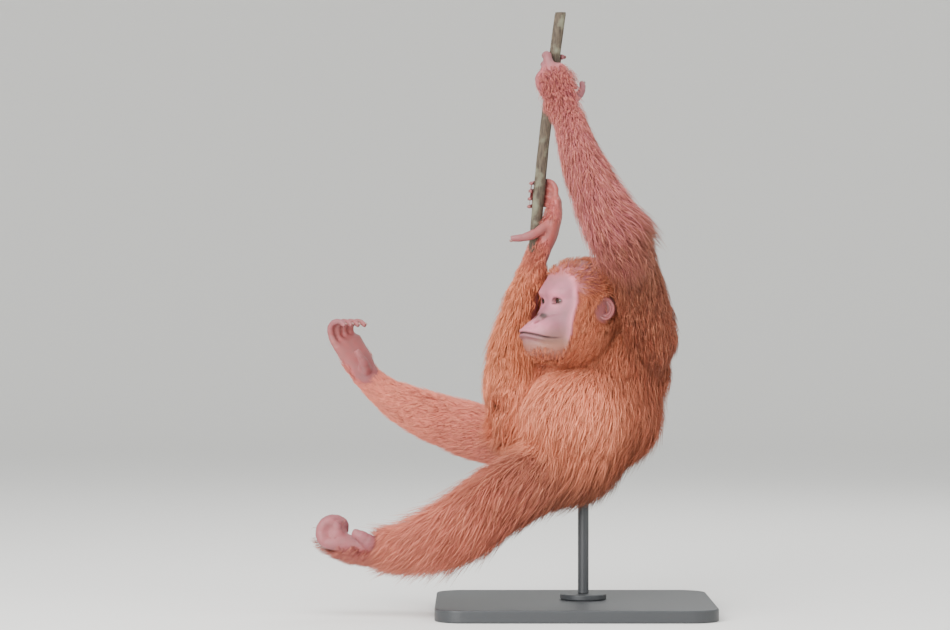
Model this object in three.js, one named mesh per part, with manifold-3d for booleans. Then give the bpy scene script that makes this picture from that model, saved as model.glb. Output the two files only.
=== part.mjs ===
// A young orangutan, life size, hanging by both hands from an upright stem, with both legs
// stretched out to its side. It is carried on a plain display stand: a rod under the rump, a
// flange and a flat base. Millimetres, +Z up, the animal's chest towards -X and -Y. The origin
// is the middle of the base's underside.
import * as THREE from 'three';
import { mergeVertices } from 'three/addons/utils/BufferGeometryUtils.js';
import Module from 'manifold-3d';

const wasm = await Module();
wasm.setup();

// Driving dimensions

const GAP = 0.35; // between touching pieces
const LOCK_GAP = 0.7; // grown at the corners of a lock, which is less across its flat sides
const BASE = { width: 400, depth: 330, thick: 18, corner: 40, bevel: 2 };
const FLANGE = { radius: 34, thick: 8 };
const ROD_RADIUS = 8;
const ROD_FOOT = at(14, 12, BASE.thick);
const STEM_RADIUS = 8.5;
const FINGER = 6.2; // half thickness of a finger at its root
const TOE = 6.8;
const DIGIT_PITCH = 13.2; // from one finger to the next
const EYE_RADIUS = 9;
const LID = 2;
const SKIN_BLEND = 18; // how softly the forms of the head and the trunk run together
const CORE_SHARE = 0.45; // of the coat's length, solid under the locks

// Which way the head and the trunk face: the angle from -Y towards -X, seen from above
const HEAD_YAW = THREE.MathUtils.degToRad(58);
const TRUNK_YAW = THREE.MathUtils.degToRad(55);
const HEAD_PLACE = at(19, -10, 445);

// The joints
const SHOULDER_L = at(112, -12, 393);
const ELBOW_L = at(66, -128, 538);
const WRIST_L = at(-8, -45, 712);
const SHOULDER_R = at(30, 108, 370);
const ELBOW_R = at(-98, 4, 322);
const WRIST_R = at(-50, 12, 520);
const HIP_L = at(-30, -22, 212);
const KNEE_L = at(-150, -72, 139);
const ANKLE_L = at(-281, -50, 97);
const HIP_R = at(-38, 45, 236);
const KNEE_R = at(-150, 88, 260);
const ANKLE_R = at(-306, 66, 345);

// The stem leans a little, so its middle line is worked out from its two ends
const STEM_FOOT = at(-58, 5, 520);
const STEM_TOP = at(-19, 5, 868);
const STEM_BOW = 3;

// Vectors and solids

function at(x, y, z) {
  return new THREE.Vector3(x, y, z);
}

function between(a, b, share) {
  return a.clone().lerp(b, share);
}

function stemAt(z) {
  const share = (z - STEM_FOOT.z) / (STEM_TOP.z - STEM_FOOT.z);
  const point = between(STEM_FOOT, STEM_TOP, share);
  point.x -= STEM_BOW * Math.sin(Math.PI * share);
  return point;
}

// Turns a shape whose +X is forwards, +Y its left side and +Z up to face along `yaw`
function facing(yaw) {
  const forward = at(-Math.sin(yaw), -Math.cos(yaw), 0);
  const left = at(0, 0, 1).cross(forward);
  const turned = new THREE.Matrix4().makeBasis(forward, left, at(0, 0, 1));
  return new THREE.Quaternion().setFromRotationMatrix(turned);
}

const HEAD_TURN = facing(HEAD_YAW);
const TRUNK_TURN = facing(TRUNK_YAW);

// A point of the head, given forwards, to its left and up from the middle of the skull
function onHead(forward, left, up) {
  return at(forward, left, up).applyQuaternion(HEAD_TURN).add(HEAD_PLACE);
}

function welded(geometry) {
  geometry.deleteAttribute('normal');
  geometry.deleteAttribute('uv');
  return mergeVertices(geometry, 1e-4);
}

function unitBall(sides, rings) {
  return welded(new THREE.SphereGeometry(1, sides, rings));
}

function solidOf(geometry) {
  return new wasm.Manifold(new wasm.Mesh({
    numProp: 3,
    vertProperties: new Float32Array(geometry.attributes.position.array),
    triVerts: new Uint32Array(geometry.index.array),
  }));
}

function join(solids) {
  return solids.reduce((whole, next) => whole.add(next));
}

function cutBy(solid, others) {
  return others.reduce((left, other) => left.subtract(other), solid);
}

function largest(solid) {
  const bodies = solid.decompose();
  return bodies.reduce((best, next) => (next.volume() > best.volume() ? next : best));
}

// Shapes

// A closed body along the smooth line through its stations, each [point, half width, half
// height]. The width lies across `up`, the ends are rounded over `round` half heights, and
// `turn` turns its corners about the line.
function sweep(stations, up, { sides = 10, rings = 9, grow = 0, round = 1, turn = 0 } = {}) {
  const line = new THREE.CatmullRomCurve3(stations.map(([p]) => p), false, 'centripetal');
  const sizes = new THREE.CatmullRomCurve3(
    stations.map(([, w, h]) => at(w, h ?? w, 0)), false, 'catmullrom', 0.4);
  const length = line.getLength();
  const body = unitBall(sides, rings).rotateY(turn);
  const places = body.attributes.position;
  for (let i = 0; i < places.count; i++) {
    const unit = at(0, 0, 0).fromBufferAttribute(places, i);
    const t = (1 - unit.y) / 2;
    const middle = line.getPoint(t);
    const along = line.getTangent(t);
    const side = along.clone().cross(up).normalize();
    const top = side.clone().cross(along);
    const size = sizes.getPoint(t);
    const fromEnd = Math.min(t, 1 - t) * length;
    const cap = Math.min(1, fromEnd / (round * Math.max(size.x, size.y)));
    const full = Math.sqrt(1 - (1 - cap) ** 2);
    const ring = Math.hypot(unit.x, unit.z) || 1;
    middle.addScaledVector(side, (unit.x / ring) * (size.x + grow) * full);
    middle.addScaledVector(top, -(unit.z / ring) * (size.y + grow) * full);
    middle.addScaledVector(along, (t < 0.5 ? -grow : grow) * (1 - cap));
    places.setXYZ(i, middle.x, middle.y, middle.z);
  }
  return solidOf(body);
}

function ball(centre, radii, turn, { sides = 10, rings = 8, grow = 0 } = {}) {
  const body = unitBall(sides, rings);
  body.scale(radii.x + grow, radii.y + grow, radii.z + grow);
  body.applyQuaternion(turn);
  body.translate(centre.x, centre.y, centre.z);
  return solidOf(body);
}

// A seeded stream of numbers from 0 to 1, so that the coat comes out the same every time
function stream(seed) {
  let state = seed;
  return () => {
    state = (state + 0x6d2b79f5) | 0;
    let mixed = Math.imul(state ^ (state >>> 15), 1 | state);
    mixed = (mixed + Math.imul(mixed ^ (mixed >>> 7), 61 | mixed)) ^ mixed;
    return ((mixed ^ (mixed >>> 14)) >>> 0) / 2 ** 32;
  };
}

// How far a point is outside a form, which is an ellipsoid { middle, radii } in its own frame
function outside(point, form) {
  const p = point.clone().sub(form.middle);
  const scaled = p.clone().divide(form.radii).length();
  const slope = p.clone().divide(form.radii).divide(form.radii).length();
  return slope ? (scaled * (scaled - 1)) / slope : -Math.min(...form.radii.toArray());
}

function blended(point, forms) {
  return forms.map((form) => outside(point, form)).reduce((a, b) => {
    const share = Math.max(SKIN_BLEND - Math.abs(a - b), 0) / SKIN_BLEND;
    return Math.min(a, b) - (share * share * SKIN_BLEND) / 4;
  });
}

// One closed skin round several forms that run together, as far as it is seen from `heart`. Its
// poles lie along the local X, and `crowd` above 1 draws its rings together at the front.
function moulded(forms, place, turn, heart, { sides, rings, crowd = 1, grow = 0 }) {
  const FAR = 220;
  const body = unitBall(sides, rings);
  const places = body.attributes.position;
  for (let i = 0; i < places.count; i++) {
    const unit = at(0, 0, 0).fromBufferAttribute(places, i);
    const polar = Math.PI * (Math.acos(THREE.MathUtils.clamp(unit.y, -1, 1)) / Math.PI) ** crowd;
    const ring = Math.hypot(unit.x, unit.z) || 1;
    const ray = at(Math.cos(polar), (Math.sin(polar) * unit.x) / ring,
      (-Math.sin(polar) * unit.z) / ring);
    let reach = FAR;
    for (let step = 0; step < 90; step++) {
      reach -= 0.8 * (blended(heart.clone().addScaledVector(ray, reach), forms) - grow);
    }
    const point = heart.clone().addScaledVector(ray, reach).applyQuaternion(turn).add(place);
    places.setXYZ(i, point.x, point.y, point.z);
  }
  return solidOf(body);
}

// Head

const form = (x, y, z, a, b, c) => ({ middle: at(x, y, z), radii: at(a, b, c) });
const both = (x, y, z, a, b, c) => [form(x, y, z, a, b, c), form(x, -y, z, a, b, c)];

const HEAD_FORMS = [
  form(-5, 0, 10, 62, 53, 53), // braincase
  form(26, 0, 22, 37, 42, 39), // forehead
  form(52, 0, 17, 15, 32, 9), // brow
  form(42, 0, -18, 36, 35, 36), // middle of the face
  form(78, 0, -38, 36, 31, 24), // muzzle
  form(63, 0, -58, 43, 30, 22), // lower jaw
  form(16, 0, -46, 44, 38, 32), // throat
  ...both(26, 30, -24, 32, 20, 34), // cheeks
];
const EYE_PLACE = { forward: 55.5, left: 18, up: 5 };
const MOUTH = { forward: 116, corner: 84, half: 29, line: -40, droop: 5 };
const NOSTRIL = { forward: 90, left: 5.5, up: -13 };

// The mouth's line, from one corner round the muzzle to the other
function mouthLine(lift, outward) {
  return [-1, -0.8, 0, 0.8, 1].map((share) => {
    const bend = 1 - share ** 2;
    return onHead(MOUTH.corner + (MOUTH.forward - MOUTH.corner) * bend ** 0.62 + outward,
      MOUTH.half * share, MOUTH.line - MOUTH.droop * share ** 2 + lift);
  });
}

function lips(grow = 0) {
  const lip = (lift, size) => sweep(
    mouthLine(lift, -4.5).map((p, i, all) => [p, i % (all.length - 1) ? size : size / 2, size]),
    at(0, 0, 1), { sides: 5, rings: 9, grow });
  return [lip(3.6, 4), lip(-4.2, 4)];
}

function mouthCut() {
  return sweep(mouthLine(-0.2, 1).map((p) => [p, 5, 0.9]), at(0, 0, 1),
    { sides: 4, rings: 9 });
}

// The socket is a shallow hollow. In it a dome of lid covers the eyeball, but for a long slit.
function socket(sign) {
  return ball(onHead(EYE_PLACE.forward + 19, sign * EYE_PLACE.left, EYE_PLACE.up - 1),
    at(14, 14, 12), HEAD_TURN, { sides: 10, rings: 7 });
}

function eyeball(sign, grow = 0) {
  return ball(onHead(EYE_PLACE.forward, sign * EYE_PLACE.left, EYE_PLACE.up),
    at(EYE_RADIUS, EYE_RADIUS, EYE_RADIUS), HEAD_TURN, { sides: 10, rings: 8, grow });
}

function lids(sign, grow = 0) {
  return ball(onHead(EYE_PLACE.forward - 0.5, sign * EYE_PLACE.left, EYE_PLACE.up),
    at(EYE_RADIUS + LID, EYE_RADIUS + 2 * LID, EYE_RADIUS + LID), HEAD_TURN,
    { sides: 10, rings: 7, grow });
}

function lidSlit(sign) {
  return ball(onHead(EYE_PLACE.forward + EYE_RADIUS, sign * (EYE_PLACE.left + 0.5), EYE_PLACE.up),
    at(7.5, 8.2, 4.2), HEAD_TURN, { sides: 8, rings: 6 });
}

function nose(grow = 0) {
  return [
    sweep([[onHead(62, 0, 8), 5, 4], [onHead(76, 0, -6), 6, 5], [onHead(87, 0, -12), 9, 6]],
      onHead(1, 0, 1).sub(HEAD_PLACE), { sides: 6, rings: 5, grow }),
    ...[1, -1].map((sign) => ball(onHead(85, sign * 6, -14), at(6.5, 6, 5), HEAD_TURN,
      { sides: 6, rings: 5, grow })),
  ];
}

function nostrils() {
  return [1, -1].map((sign) => ball(
    onHead(NOSTRIL.forward, sign * NOSTRIL.left, NOSTRIL.up), at(5, 3, 2.4), HEAD_TURN,
    { sides: 6, rings: 4 }));
}

function skull(grow = 0) {
  return moulded(HEAD_FORMS, HEAD_PLACE, HEAD_TURN, at(32, 0, -14),
    { sides: 24, rings: 20, crowd: 1.1, grow });
}

function headForm(grow = 0) {
  const face = join([skull(grow), ...lips(grow), ...nose(grow)]);
  return join([cutBy(face, [socket(1), socket(-1)]), lids(1, grow), lids(-1, grow)]);
}

function head() {
  return cutBy(headForm(), [mouthCut(), ...nostrils(), lidSlit(1), lidSlit(-1)]);
}

// An ear is a shallow dish with a rolled rim, leaning away from the skull
const EAR = { forward: -4, left: 53, up: -6, tall: 17, long: 11, rim: 2.6, lean: 0.35 };

function ear(sign, grow = 0) {
  const onEar = (forward, out, up) => onHead(EAR.forward + forward - out * EAR.lean,
    sign * (EAR.left + out), EAR.up + up);
  const dish = sweep([
    [onEar(4, -8, 0), 7, 9], [onEar(1, 1, 0), 10, 13], [onEar(-1, 7, 0), 8, 13],
  ], at(0, 0, 1), { sides: 8, rings: 5, grow });
  const turns = [0.1, 0.3, 0.5, 0.7, 0.9, 1.1, 1.3, 1.5].map((turn) => turn * Math.PI);
  const rim = sweep(turns.map((turn) => [
    onEar(EAR.long * Math.cos(turn), 7.5, EAR.tall * Math.sin(turn)), EAR.rim, EAR.rim]),
  onEar(0, 1, 0).sub(onEar(0, 0, 0)), { sides: 5, rings: 11, grow });
  const bowl = ball(onEar(1, 9, -1), at(6.5, 8, 9), HEAD_TURN, { sides: 8, rings: 6 });
  const notch = ball(onEar(-1, 9, 8), at(4, 4, 5), HEAD_TURN, { sides: 6, rings: 5 });
  return grow ? join([dish, rim]) : cutBy(join([dish, rim]), [bowl, notch]);
}

// Trunk. Each form is forwards, left and up from the middle of the trunk.

const TRUNK_PLACE = at(30, 22, 290);
const TRUNK_COAT = 20;
const TRUNK_FORMS = [
  form(-44, -3, 98, 42, 82, 34), // shoulder girdle
  form(-32, 3, 60, 68, 74, 62), // ribs
  form(4, 2, -7, 86, 84, 64), // loins
  form(44, 12, -14, 64, 70, 62), // belly
  form(38, -6, -66, 60, 62, 48), // hips
];

function trunk(grow = 0) {
  return moulded(TRUNK_FORMS, TRUNK_PLACE, TRUNK_TURN, at(0, 0, 0),
    { sides: 20, rings: 16, grow: grow + CORE_SHARE * TRUNK_COAT });
}

// Limbs. Each station is [point, radius of the flesh, length of the coat].

const ACROSS = at(0.3, 1, 0.2); // never in line with a limb
const LIMBS = {
  neck: [[at(64, 48, 386), 40, 10], [at(42, 24, 412), 37, 10], [at(18, 0, 436), 34, 10]],
  upper_arm_left: [[SHOULDER_L, 31, 10], [at(99, -46, 442), 30, 12], [at(82, -95, 496), 27, 16],
    [ELBOW_L, 25, 18]],
  forearm_left: [[at(60, -133, 532), 22, 42], [at(40, -118, 578), 27, 24],
    [at(20, -98, 622), 24, 14], [at(5, -78, 662), 20, 12], [WRIST_L, 15.5, 8]],
  upper_arm_right: [[SHOULDER_R, 32, 10], [at(-12, 84, 350), 31, 12], [at(-56, 44, 334), 28, 14],
    [ELBOW_R, 25, 14]],
  forearm_right: [[at(-98, 10, 320), 22, 14], [at(-90, 15, 372), 26, 12],
    [at(-76, 17, 426), 22, 15], [at(-61, 15, 486), 17, 12], [WRIST_R, 14, 8]],
  thigh_left: [[HIP_L, 36, 12], [at(-70, -42, 188), 37, 16], [at(-111, -60, 167), 36, 20],
    [KNEE_L, 32, 24]],
  shin_left: [[at(-144, -72, 142), 28, 24], [at(-188, -74, 118), 28, 22],
    [at(-239, -62, 102), 22, 16], [ANKLE_L, 16, 8]],
  thigh_right: [[HIP_R, 38, 6], [at(-70, 60, 242), 38, 6], [at(-110, 75, 250), 37, 6],
    [KNEE_R, 35, 6]],
  shin_right: [[at(-146, 88, 260), 32, 6], [at(-190, 92, 274), 33, 6], [at(-242, 80, 296), 27, 5],
    [at(-282, 72, 321), 19, 4], [ANKLE_R, 15, 3]],
};

function limb(name, grow = 0) {
  return sweep(coreOf(LIMBS[name]), ACROSS, { sides: 9, rings: 8, grow });
}

function coreOf(stations) {
  return stations.map(([p, radius, coat]) => [p, radius + CORE_SHARE * coat]);
}

// Hands and feet. A digit's list is its middle line from the root to the tip.

function digit(points, size, up) {
  const last = points.length - 1;
  return sweep(points.map((p, i) => {
    const taper = 1 - 0.3 * (i / last);
    return [p, size * taper, size * taper];
  }), up, { sides: 6, rings: 7 });
}

// A finger that starts in front of or beside the stem and goes round it at height z. `from` and
// `to` are the angles about the stem, from +X towards +Y.
function roundStem(root, z, from, to, tipDrop) {
  const reach = STEM_RADIUS + FINGER + 0.6;
  const turns = [0, 0.34, 0.67, 1];
  return [root, ...turns.map((share) => {
    const angle = THREE.MathUtils.degToRad(from + (to - from) * share);
    const middle = stemAt(z);
    const near = reach - 0.25 * FINGER * share;
    return at(middle.x + near * Math.cos(angle), middle.y + near * Math.sin(angle),
      z - tipDrop * share);
  })];
}

const STEM_UP = STEM_TOP.clone().sub(STEM_FOOT).normalize();

const HANDS = {
  hand_left: {
    palm: [[WRIST_L, 15, 13], [at(-17, -37, 736), 21, 12], [at(-27, -28, 758), 27, 11],
      [at(-36, -21, 780), 25, 9]],
    up: at(0.2, 1, 0.3),
    size: FINGER,
    digits: [0, 1, 2, 3].map((i) => roundStem(at(-38 - 3 * i, -20, 798 - DIGIT_PITCH * i * 0.9),
      806 - DIGIT_PITCH * i, 225, 20, 2)),
    thumb: [at(-8, -34, 738), at(6, -27, 746), at(12, -18, 756), at(11, -8, 766)],
  },
  hand_right: {
    palm: [[WRIST_R, 15, 13], [at(-38, 12, 546), 19, 12], [at(-28, 12, 572), 25, 10],
      [at(-25, 14, 592), 25, 8]],
    up: at(1, 0, 0.25),
    size: FINGER * 0.9,
    digits: [0, 1, 2, 3].map((i) => roundStem(at(-26, 4 + 5 * i, 612 - DIGIT_PITCH * i * 0.8),
      624 - DIGIT_PITCH * i * 0.85, 20, 205, 4)),
    thumb: [at(-38, 0, 560), at(-54, -11, 549), at(-74, -15, 542), at(-92, -15, 540)],
  },
  foot_left: {
    palm: [[at(-277, -49, 97), 18, 17], [at(-303, -48, 97), 24, 17], [at(-327, -47, 99), 27, 15],
      [at(-345, -46, 103), 26, 11]],
    up: at(0, 0.3, 1),
    size: TOE,
    digits: [0, 1, 2, 3].map((i) => {
      const y = -66 + DIGIT_PITCH * i;
      return [at(-341, y, 104), at(-361, y - 1, 109), at(-368, y, 125), at(-358, y, 139),
        at(-341, y + 1, 139), at(-332, y + 1, 128)];
    }),
    thumb: [at(-292, -66, 104), at(-302, -74, 112), at(-314, -77, 120), at(-327, -74, 124)],
  },
  foot_right: {
    palm: [[at(-302, 64, 342), 17, 16], [at(-311, 60, 358), 22, 15], [at(-322, 55, 376), 25, 13],
      [at(-328, 53, 389), 25, 10]],
    up: at(0.62, -0.78, 0.1),
    size: TOE,
    digits: [0, 1, 2, 3].map((i) => {
      const x = 14 - 9.4 * i;
      const y = 12 - 9 * i;
      return [at(-330 + x, 54 + y, 384), at(-339 + x, 53 + y, 401), at(-338 + x, 46 + y, 416),
        at(-326 + x, 37 + y, 421), at(-317 + x, 30 + y, 414)];
    }),
    thumb: [at(-303, 50, 350), at(-304, 36, 358), at(-309, 26, 368), at(-316, 22, 379)],
  },
};

// Stand and stem

function base(grow = 0) {
  const { width, depth, thick, corner, bevel } = BASE;
  const outline = new THREE.Shape();
  const x = width / 2 - bevel + grow;
  const y = depth / 2 - bevel + grow;
  outline.moveTo(x, -y + corner).lineTo(x, y - corner);
  outline.absarc(x - corner, y - corner, corner, 0, Math.PI / 2);
  outline.absarc(-x + corner, y - corner, corner, Math.PI / 2, Math.PI);
  outline.absarc(-x + corner, -y + corner, corner, Math.PI, 1.5 * Math.PI);
  outline.absarc(x - corner, -y + corner, corner, 1.5 * Math.PI, 2 * Math.PI);
  const plate = new THREE.ExtrudeGeometry(outline, {
    depth: thick - 2 * bevel + 2 * grow, bevelThickness: bevel, bevelSize: bevel,
    bevelSegments: 1, curveSegments: 4,
  });
  plate.translate(0, 0, bevel - grow);
  return solidOf(welded(plate));
}

function disc(radius, foot, tall, grow = 0) {
  const shape = new THREE.CylinderGeometry(radius + grow, radius + grow, tall + 2 * grow, 18);
  shape.rotateX(Math.PI / 2);
  shape.translate(foot.x, foot.y, foot.z + tall / 2);
  return solidOf(welded(shape));
}

function stem(grow = 0) {
  const heights = [0, 0.25, 0.5, 0.75, 1];
  return sweep(heights.map((share) => {
    const z = STEM_FOOT.z + (STEM_TOP.z - STEM_FOOT.z) * share;
    return [stemAt(z), STEM_RADIUS, STEM_RADIUS];
  }), at(0, 1, 0), { sides: 12, rings: 8, grow, round: 0.3 });
}

// Coat. A lock is a flat, tapered blade with a low ridge, its root sunk in the core of its node.
// It follows the lie of the hair along the surface, rises to the length of the coat, hangs off an
// underside, and bends round whatever else is near.

const LOCK = { sink: 8, rise: [0.3, 0.75, 1], width: [0.8, 1, 0.65, 0.1], thick: [1, 1, 0.7, 0.25] };
const LOCK_STEP = 0.36; // of its length, from one station to the next
const CLEARANCE = 3; // between the middle of a lock and another node
const SHARPEST = 0.9; // radians between any length of a lock and the line from its root to its tip

const headSurface = (p) => blended(
  p.clone().sub(HEAD_PLACE).applyQuaternion(HEAD_TURN.clone().invert()), HEAD_FORMS);
const trunkSurface = (p) => blended(
  p.clone().sub(TRUNK_PLACE).applyQuaternion(TRUNK_TURN.clone().invert()), TRUNK_FORMS)
  - CORE_SHARE * TRUNK_COAT;

// How far a point is outside a chain of lengths, each tapered to the next. The stations and `up`
// are those of a sweep.
function chainSurface(stations, up) {
  const lengths = stations.slice(1).map(([end, endWidth, endHeight], i) => {
    const [start, startWidth, startHeight] = stations[i];
    const line = new THREE.Line3(start, end);
    const side = line.delta(at(0, 0, 0)).cross(up).normalize();
    const first = at(startWidth, startHeight ?? startWidth, 0);
    return { line, side, first, last: at(endWidth, endHeight ?? endWidth, 0) };
  });
  return (p) => Math.min(...lengths.map(({ line, side, first, last }) => {
    const share = line.closestPointToPointParameter(p, true);
    const size = between(first, last, share);
    const away = p.clone().sub(line.at(share, at(0, 0, 0)));
    const across = away.dot(side);
    const rest = Math.sqrt(Math.max(0, away.lengthSq() - across ** 2));
    const scaled = Math.hypot(across / size.x, rest / size.y);
    return scaled ? away.length() * (1 - 1 / scaled) : -size.y;
  }));
}

const SURFACES = { head: headSurface, torso: trunkSurface };
for (const [name, stations] of Object.entries(LIMBS)) {
  SURFACES[name] = chainSurface(coreOf(stations), ACROSS);
}
for (const [name, { palm, up }] of Object.entries(HANDS)) SURFACES[name] = chainSurface(palm, up);

function slopeOf(surface, p) {
  const here = surface(p);
  const rise = (x, y, z) => surface(at(p.x + x, p.y + y, p.z + z)) - here;
  return at(rise(0.5, 0, 0), rise(0, 0.5, 0), rise(0, 0, 0.5)).normalize();
}

// The nearest point of a surface
function onto(surface, p) {
  const point = p.clone();
  for (let i = 0; i < 6; i++) point.addScaledVector(slopeOf(surface, point), -surface(point));
  return point;
}

// A lock's stations, or nothing where its root would be inside another node or it would have to
// double back on itself
function lockStations(name, root, lie, { length, width, thick, lift, hang }) {
  const surface = SURFACES[name];
  const others = Object.keys(SURFACES).filter((other) => other !== name).map((n) => SURFACES[n]);
  if (others.some((other) => other(root) < CLEARANCE)) return null;
  const points = [root.clone().addScaledVector(slopeOf(surface, root), -LOCK.sink)];
  const point = root.clone();
  for (const rise of LOCK.rise) {
    const out = slopeOf(surface, point);
    const inwards = lie.dot(out);
    const heading = lie.clone().addScaledVector(out, inwards < 0 ? -inwards : -0.5 * inwards);
    point.addScaledVector(heading.normalize(), LOCK_STEP * length);
    const loose = hang * Math.max(0, -out.z);
    const level = THREE.MathUtils.clamp(surface(point), lift * rise, lift * (rise + loose));
    point.addScaledVector(slopeOf(surface, point), level - surface(point));
    for (const other of others) {
      const short = CLEARANCE - other(point);
      if (short > 0) point.addScaledVector(slopeOf(other, point), short);
    }
    points.push(point.clone());
  }
  const chord = points[points.length - 1].clone().sub(points[0]);
  const turns = points.slice(1).map((p, i) => chord.angleTo(p.clone().sub(points[i])));
  if (Math.max(...turns) > SHARPEST) return null;
  return points.map((p, i) => [p, width * LOCK.width[i], thick * LOCK.thick[i]]);
}

// Rows of roots round the middle line of a node. `axis` is that line, `coatAt` the coat's length
// along it, and `towards` is 1 where the hair lies along the line and -1 where it lies back. The
// rows go all round, or from one angle to another where only one side is hairy.
function locksRound(name, axis, coatAt, style) {
  const { rows, around, towards, droop, length, width, hang, seed, arc = [0, 360] } = style;
  const [start, span] = [arc[0], arc[1] - arc[0]].map(THREE.MathUtils.degToRad);
  const random = stream(seed);
  const line = new THREE.CatmullRomCurve3(axis);
  const locks = [];
  for (let row = 0; row < rows; row++) {
    for (let i = 0; i < around; i++) {
      const t = (row + 0.5 + 0.3 * (random() - 0.5)) / rows;
      const angle = start + (span * (i + 0.25 + (row % 2) / 2 + 0.3 * (random() - 0.5))) / around;
      const along = line.getTangent(t);
      const side = along.clone().cross(ACROSS).normalize();
      const out = side.clone().multiplyScalar(Math.cos(angle))
        .addScaledVector(side.clone().cross(along), Math.sin(angle));
      const root = line.getPoint(t);
      for (let step = 0; step < 12; step++) root.addScaledVector(out, -SURFACES[name](root));
      const lie = along.multiplyScalar(towards).add(at(0, 0, -droop))
        .addScaledVector(side, 0.3 * (random() - 0.5)).normalize();
      const size = 0.85 + 0.3 * random();
      const coat = coatAt(t);
      locks.push(lockStations(name, root, lie, {
        length: length * size, width: width * size, thick: 2.5 + 0.1 * coat,
        lift: (1 - CORE_SHARE) * coat, hang,
      }));
    }
  }
  return locks.filter(Boolean);
}

const STYLES = {
  torso: { rows: 5, around: 9, towards: 1, droop: 0.3, length: 98, width: 28, hang: 0.3, seed: 11 },
  neck: { rows: 1, around: 8, towards: -1, droop: 0.6, length: 46, width: 16, hang: 0, seed: 12 },
  upper_arm_left: { rows: 3, around: 4, towards: -1, droop: 0.6, length: 68, width: 20, hang: 1,
    seed: 13 },
  forearm_left: { rows: 4, around: 5, towards: -1, droop: 0.6, length: 72, width: 17, hang: 1,
    seed: 14 },
  upper_arm_right: { rows: 3, around: 4, towards: 1, droop: 0.6, length: 66, width: 19, hang: 1,
    seed: 15 },
  forearm_right: { rows: 4, around: 4, towards: -1, droop: 0.6, length: 70, width: 19, hang: 1,
    seed: 16 },
  thigh_left: { rows: 3, around: 5, towards: 1, droop: 0.7, length: 68, width: 20, hang: 1,
    seed: 17 },
  shin_left: { rows: 4, around: 4, towards: 1, droop: 0.7, length: 58, width: 17, hang: 1,
    seed: 18 },
  hand_left: { rows: 3, around: 3, towards: -1, droop: 0.3, length: 40, width: 10, hang: 1,
    seed: 19, arc: [185, 355] },
  foot_left: { rows: 2, around: 4, towards: 1, droop: 0.5, length: 34, width: 10, hang: 1,
    seed: 20, arc: [-100, 60] },
};
const HAND_COAT = 18;
const TRUNK_LINE = [at(62, 46, 388), at(36, 26, 300), at(-4, 6, 200)];

// The whiskers: [forwards, left, up] of each root, for one side of the head
const WHISKERS = [
  [34, 38, -8], [38, 36, -30], [42, 33, -52], [52, 22, -74], [8, 46, -24], [12, 42, -46],
  [24, 30, -68], [-44, 34, 0], [-50, 14, -16], [-44, 16, 40],
];
const WHISKER = { length: 36, width: 10, thick: 3, lift: 7, hang: 0.6, lie: [-0.5, 0, -0.86] };

function whiskers() {
  const heart = onHead(0, 0, 0);
  const lie = onHead(...WHISKER.lie).sub(heart).normalize();
  return [1, -1].flatMap((sign) => WHISKERS.map(([forward, left, up]) => lockStations(
    'head', onto(headSurface, onHead(forward, sign * left, up)), lie, WHISKER))).filter(Boolean);
}

function locksOf(name) {
  if (name === 'head') return whiskers();
  if (name === 'torso') return locksRound(name, TRUNK_LINE, () => TRUNK_COAT, STYLES[name]);
  if (!STYLES[name]) return [];
  if (HANDS[name]) {
    return locksRound(name, HANDS[name].palm.map(([p]) => p), () => HAND_COAT, STYLES[name]);
  }
  const stations = LIMBS[name];
  const coat = new THREE.CatmullRomCurve3(stations.map(([, , length]) => at(length, 0, 0)),
    false, 'catmullrom', 0.4);
  return locksRound(name, stations.map(([p]) => p), (t) => coat.getPoint(t).x, STYLES[name]);
}

// A lock's edges are so sharp that it has to grow more in width than in height to hold the first
function lockSolid(name, stations, grow = 0) {
  const out = slopeOf(SURFACES[name], stations[1][0]);
  const chord = stations[stations.length - 1][0].clone().sub(stations[0][0]).normalize();
  const up = out.addScaledVector(chord, -out.dot(chord));
  const wider = stations.map(([p, width, thick]) => [p, width + 2 * grow, thick]);
  return sweep(wider, up, { sides: 3, rings: 5, grow, turn: -Math.PI / 2 });
}

// Assembly: a later piece yields to every earlier one, and every lock to all other bodies

const COLOURS = {
  coat: { color: 0xb4522c, roughness: 0.85, metalness: 0 },
  skin: { color: 0xa07a78, roughness: 0.6, metalness: 0 },
  eye: { color: 0x2a1710, roughness: 0.15, metalness: 0 },
  bark: { color: 0x6f6552, roughness: 0.9, metalness: 0 },
  steel: { color: 0x3b3d40, roughness: 0.45, metalness: 0.6 },
};

const pieces = [];

// `shape` makes the piece's solid, grown all over by the length it is given
function add(name, finish, shape, finished = shape) {
  pieces.push({ name, finish, solid: finished(0), clearance: shape(GAP) });
}

function meshOf(name, finish, solid) {
  const { vertProperties, triVerts } = solid.getMesh();
  const geometry = new THREE.BufferGeometry();
  geometry.setAttribute('position', new THREE.BufferAttribute(vertProperties, 3));
  geometry.setIndex(new THREE.BufferAttribute(triVerts, 1));
  geometry.computeVertexNormals();
  const mesh = new THREE.Mesh(geometry, new THREE.MeshStandardMaterial(COLOURS[finish]));
  mesh.name = name;
  return mesh;
}

function assemble() {
  const group = new THREE.Group();
  const lockClearances = [];
  pieces.forEach(({ name, finish, solid }, k) => {
    const earlier = pieces.slice(0, k).map((piece) => piece.clearance);
    const others = pieces.filter((piece, j) => j !== k).map((piece) => piece.clearance);
    const locks = locksOf(name);
    const body = largest(cutBy(solid, earlier));
    const coat = locks.map((stations) => cutBy(
      lockSolid(name, stations), [...others, ...lockClearances]));
    group.add(meshOf(name, finish, largest(join([body, ...coat]))));
    if (locks.length) lockClearances.push(join(locks.map((l) => lockSolid(name, l, LOCK_GAP))));
  });
  return group;
}

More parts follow.
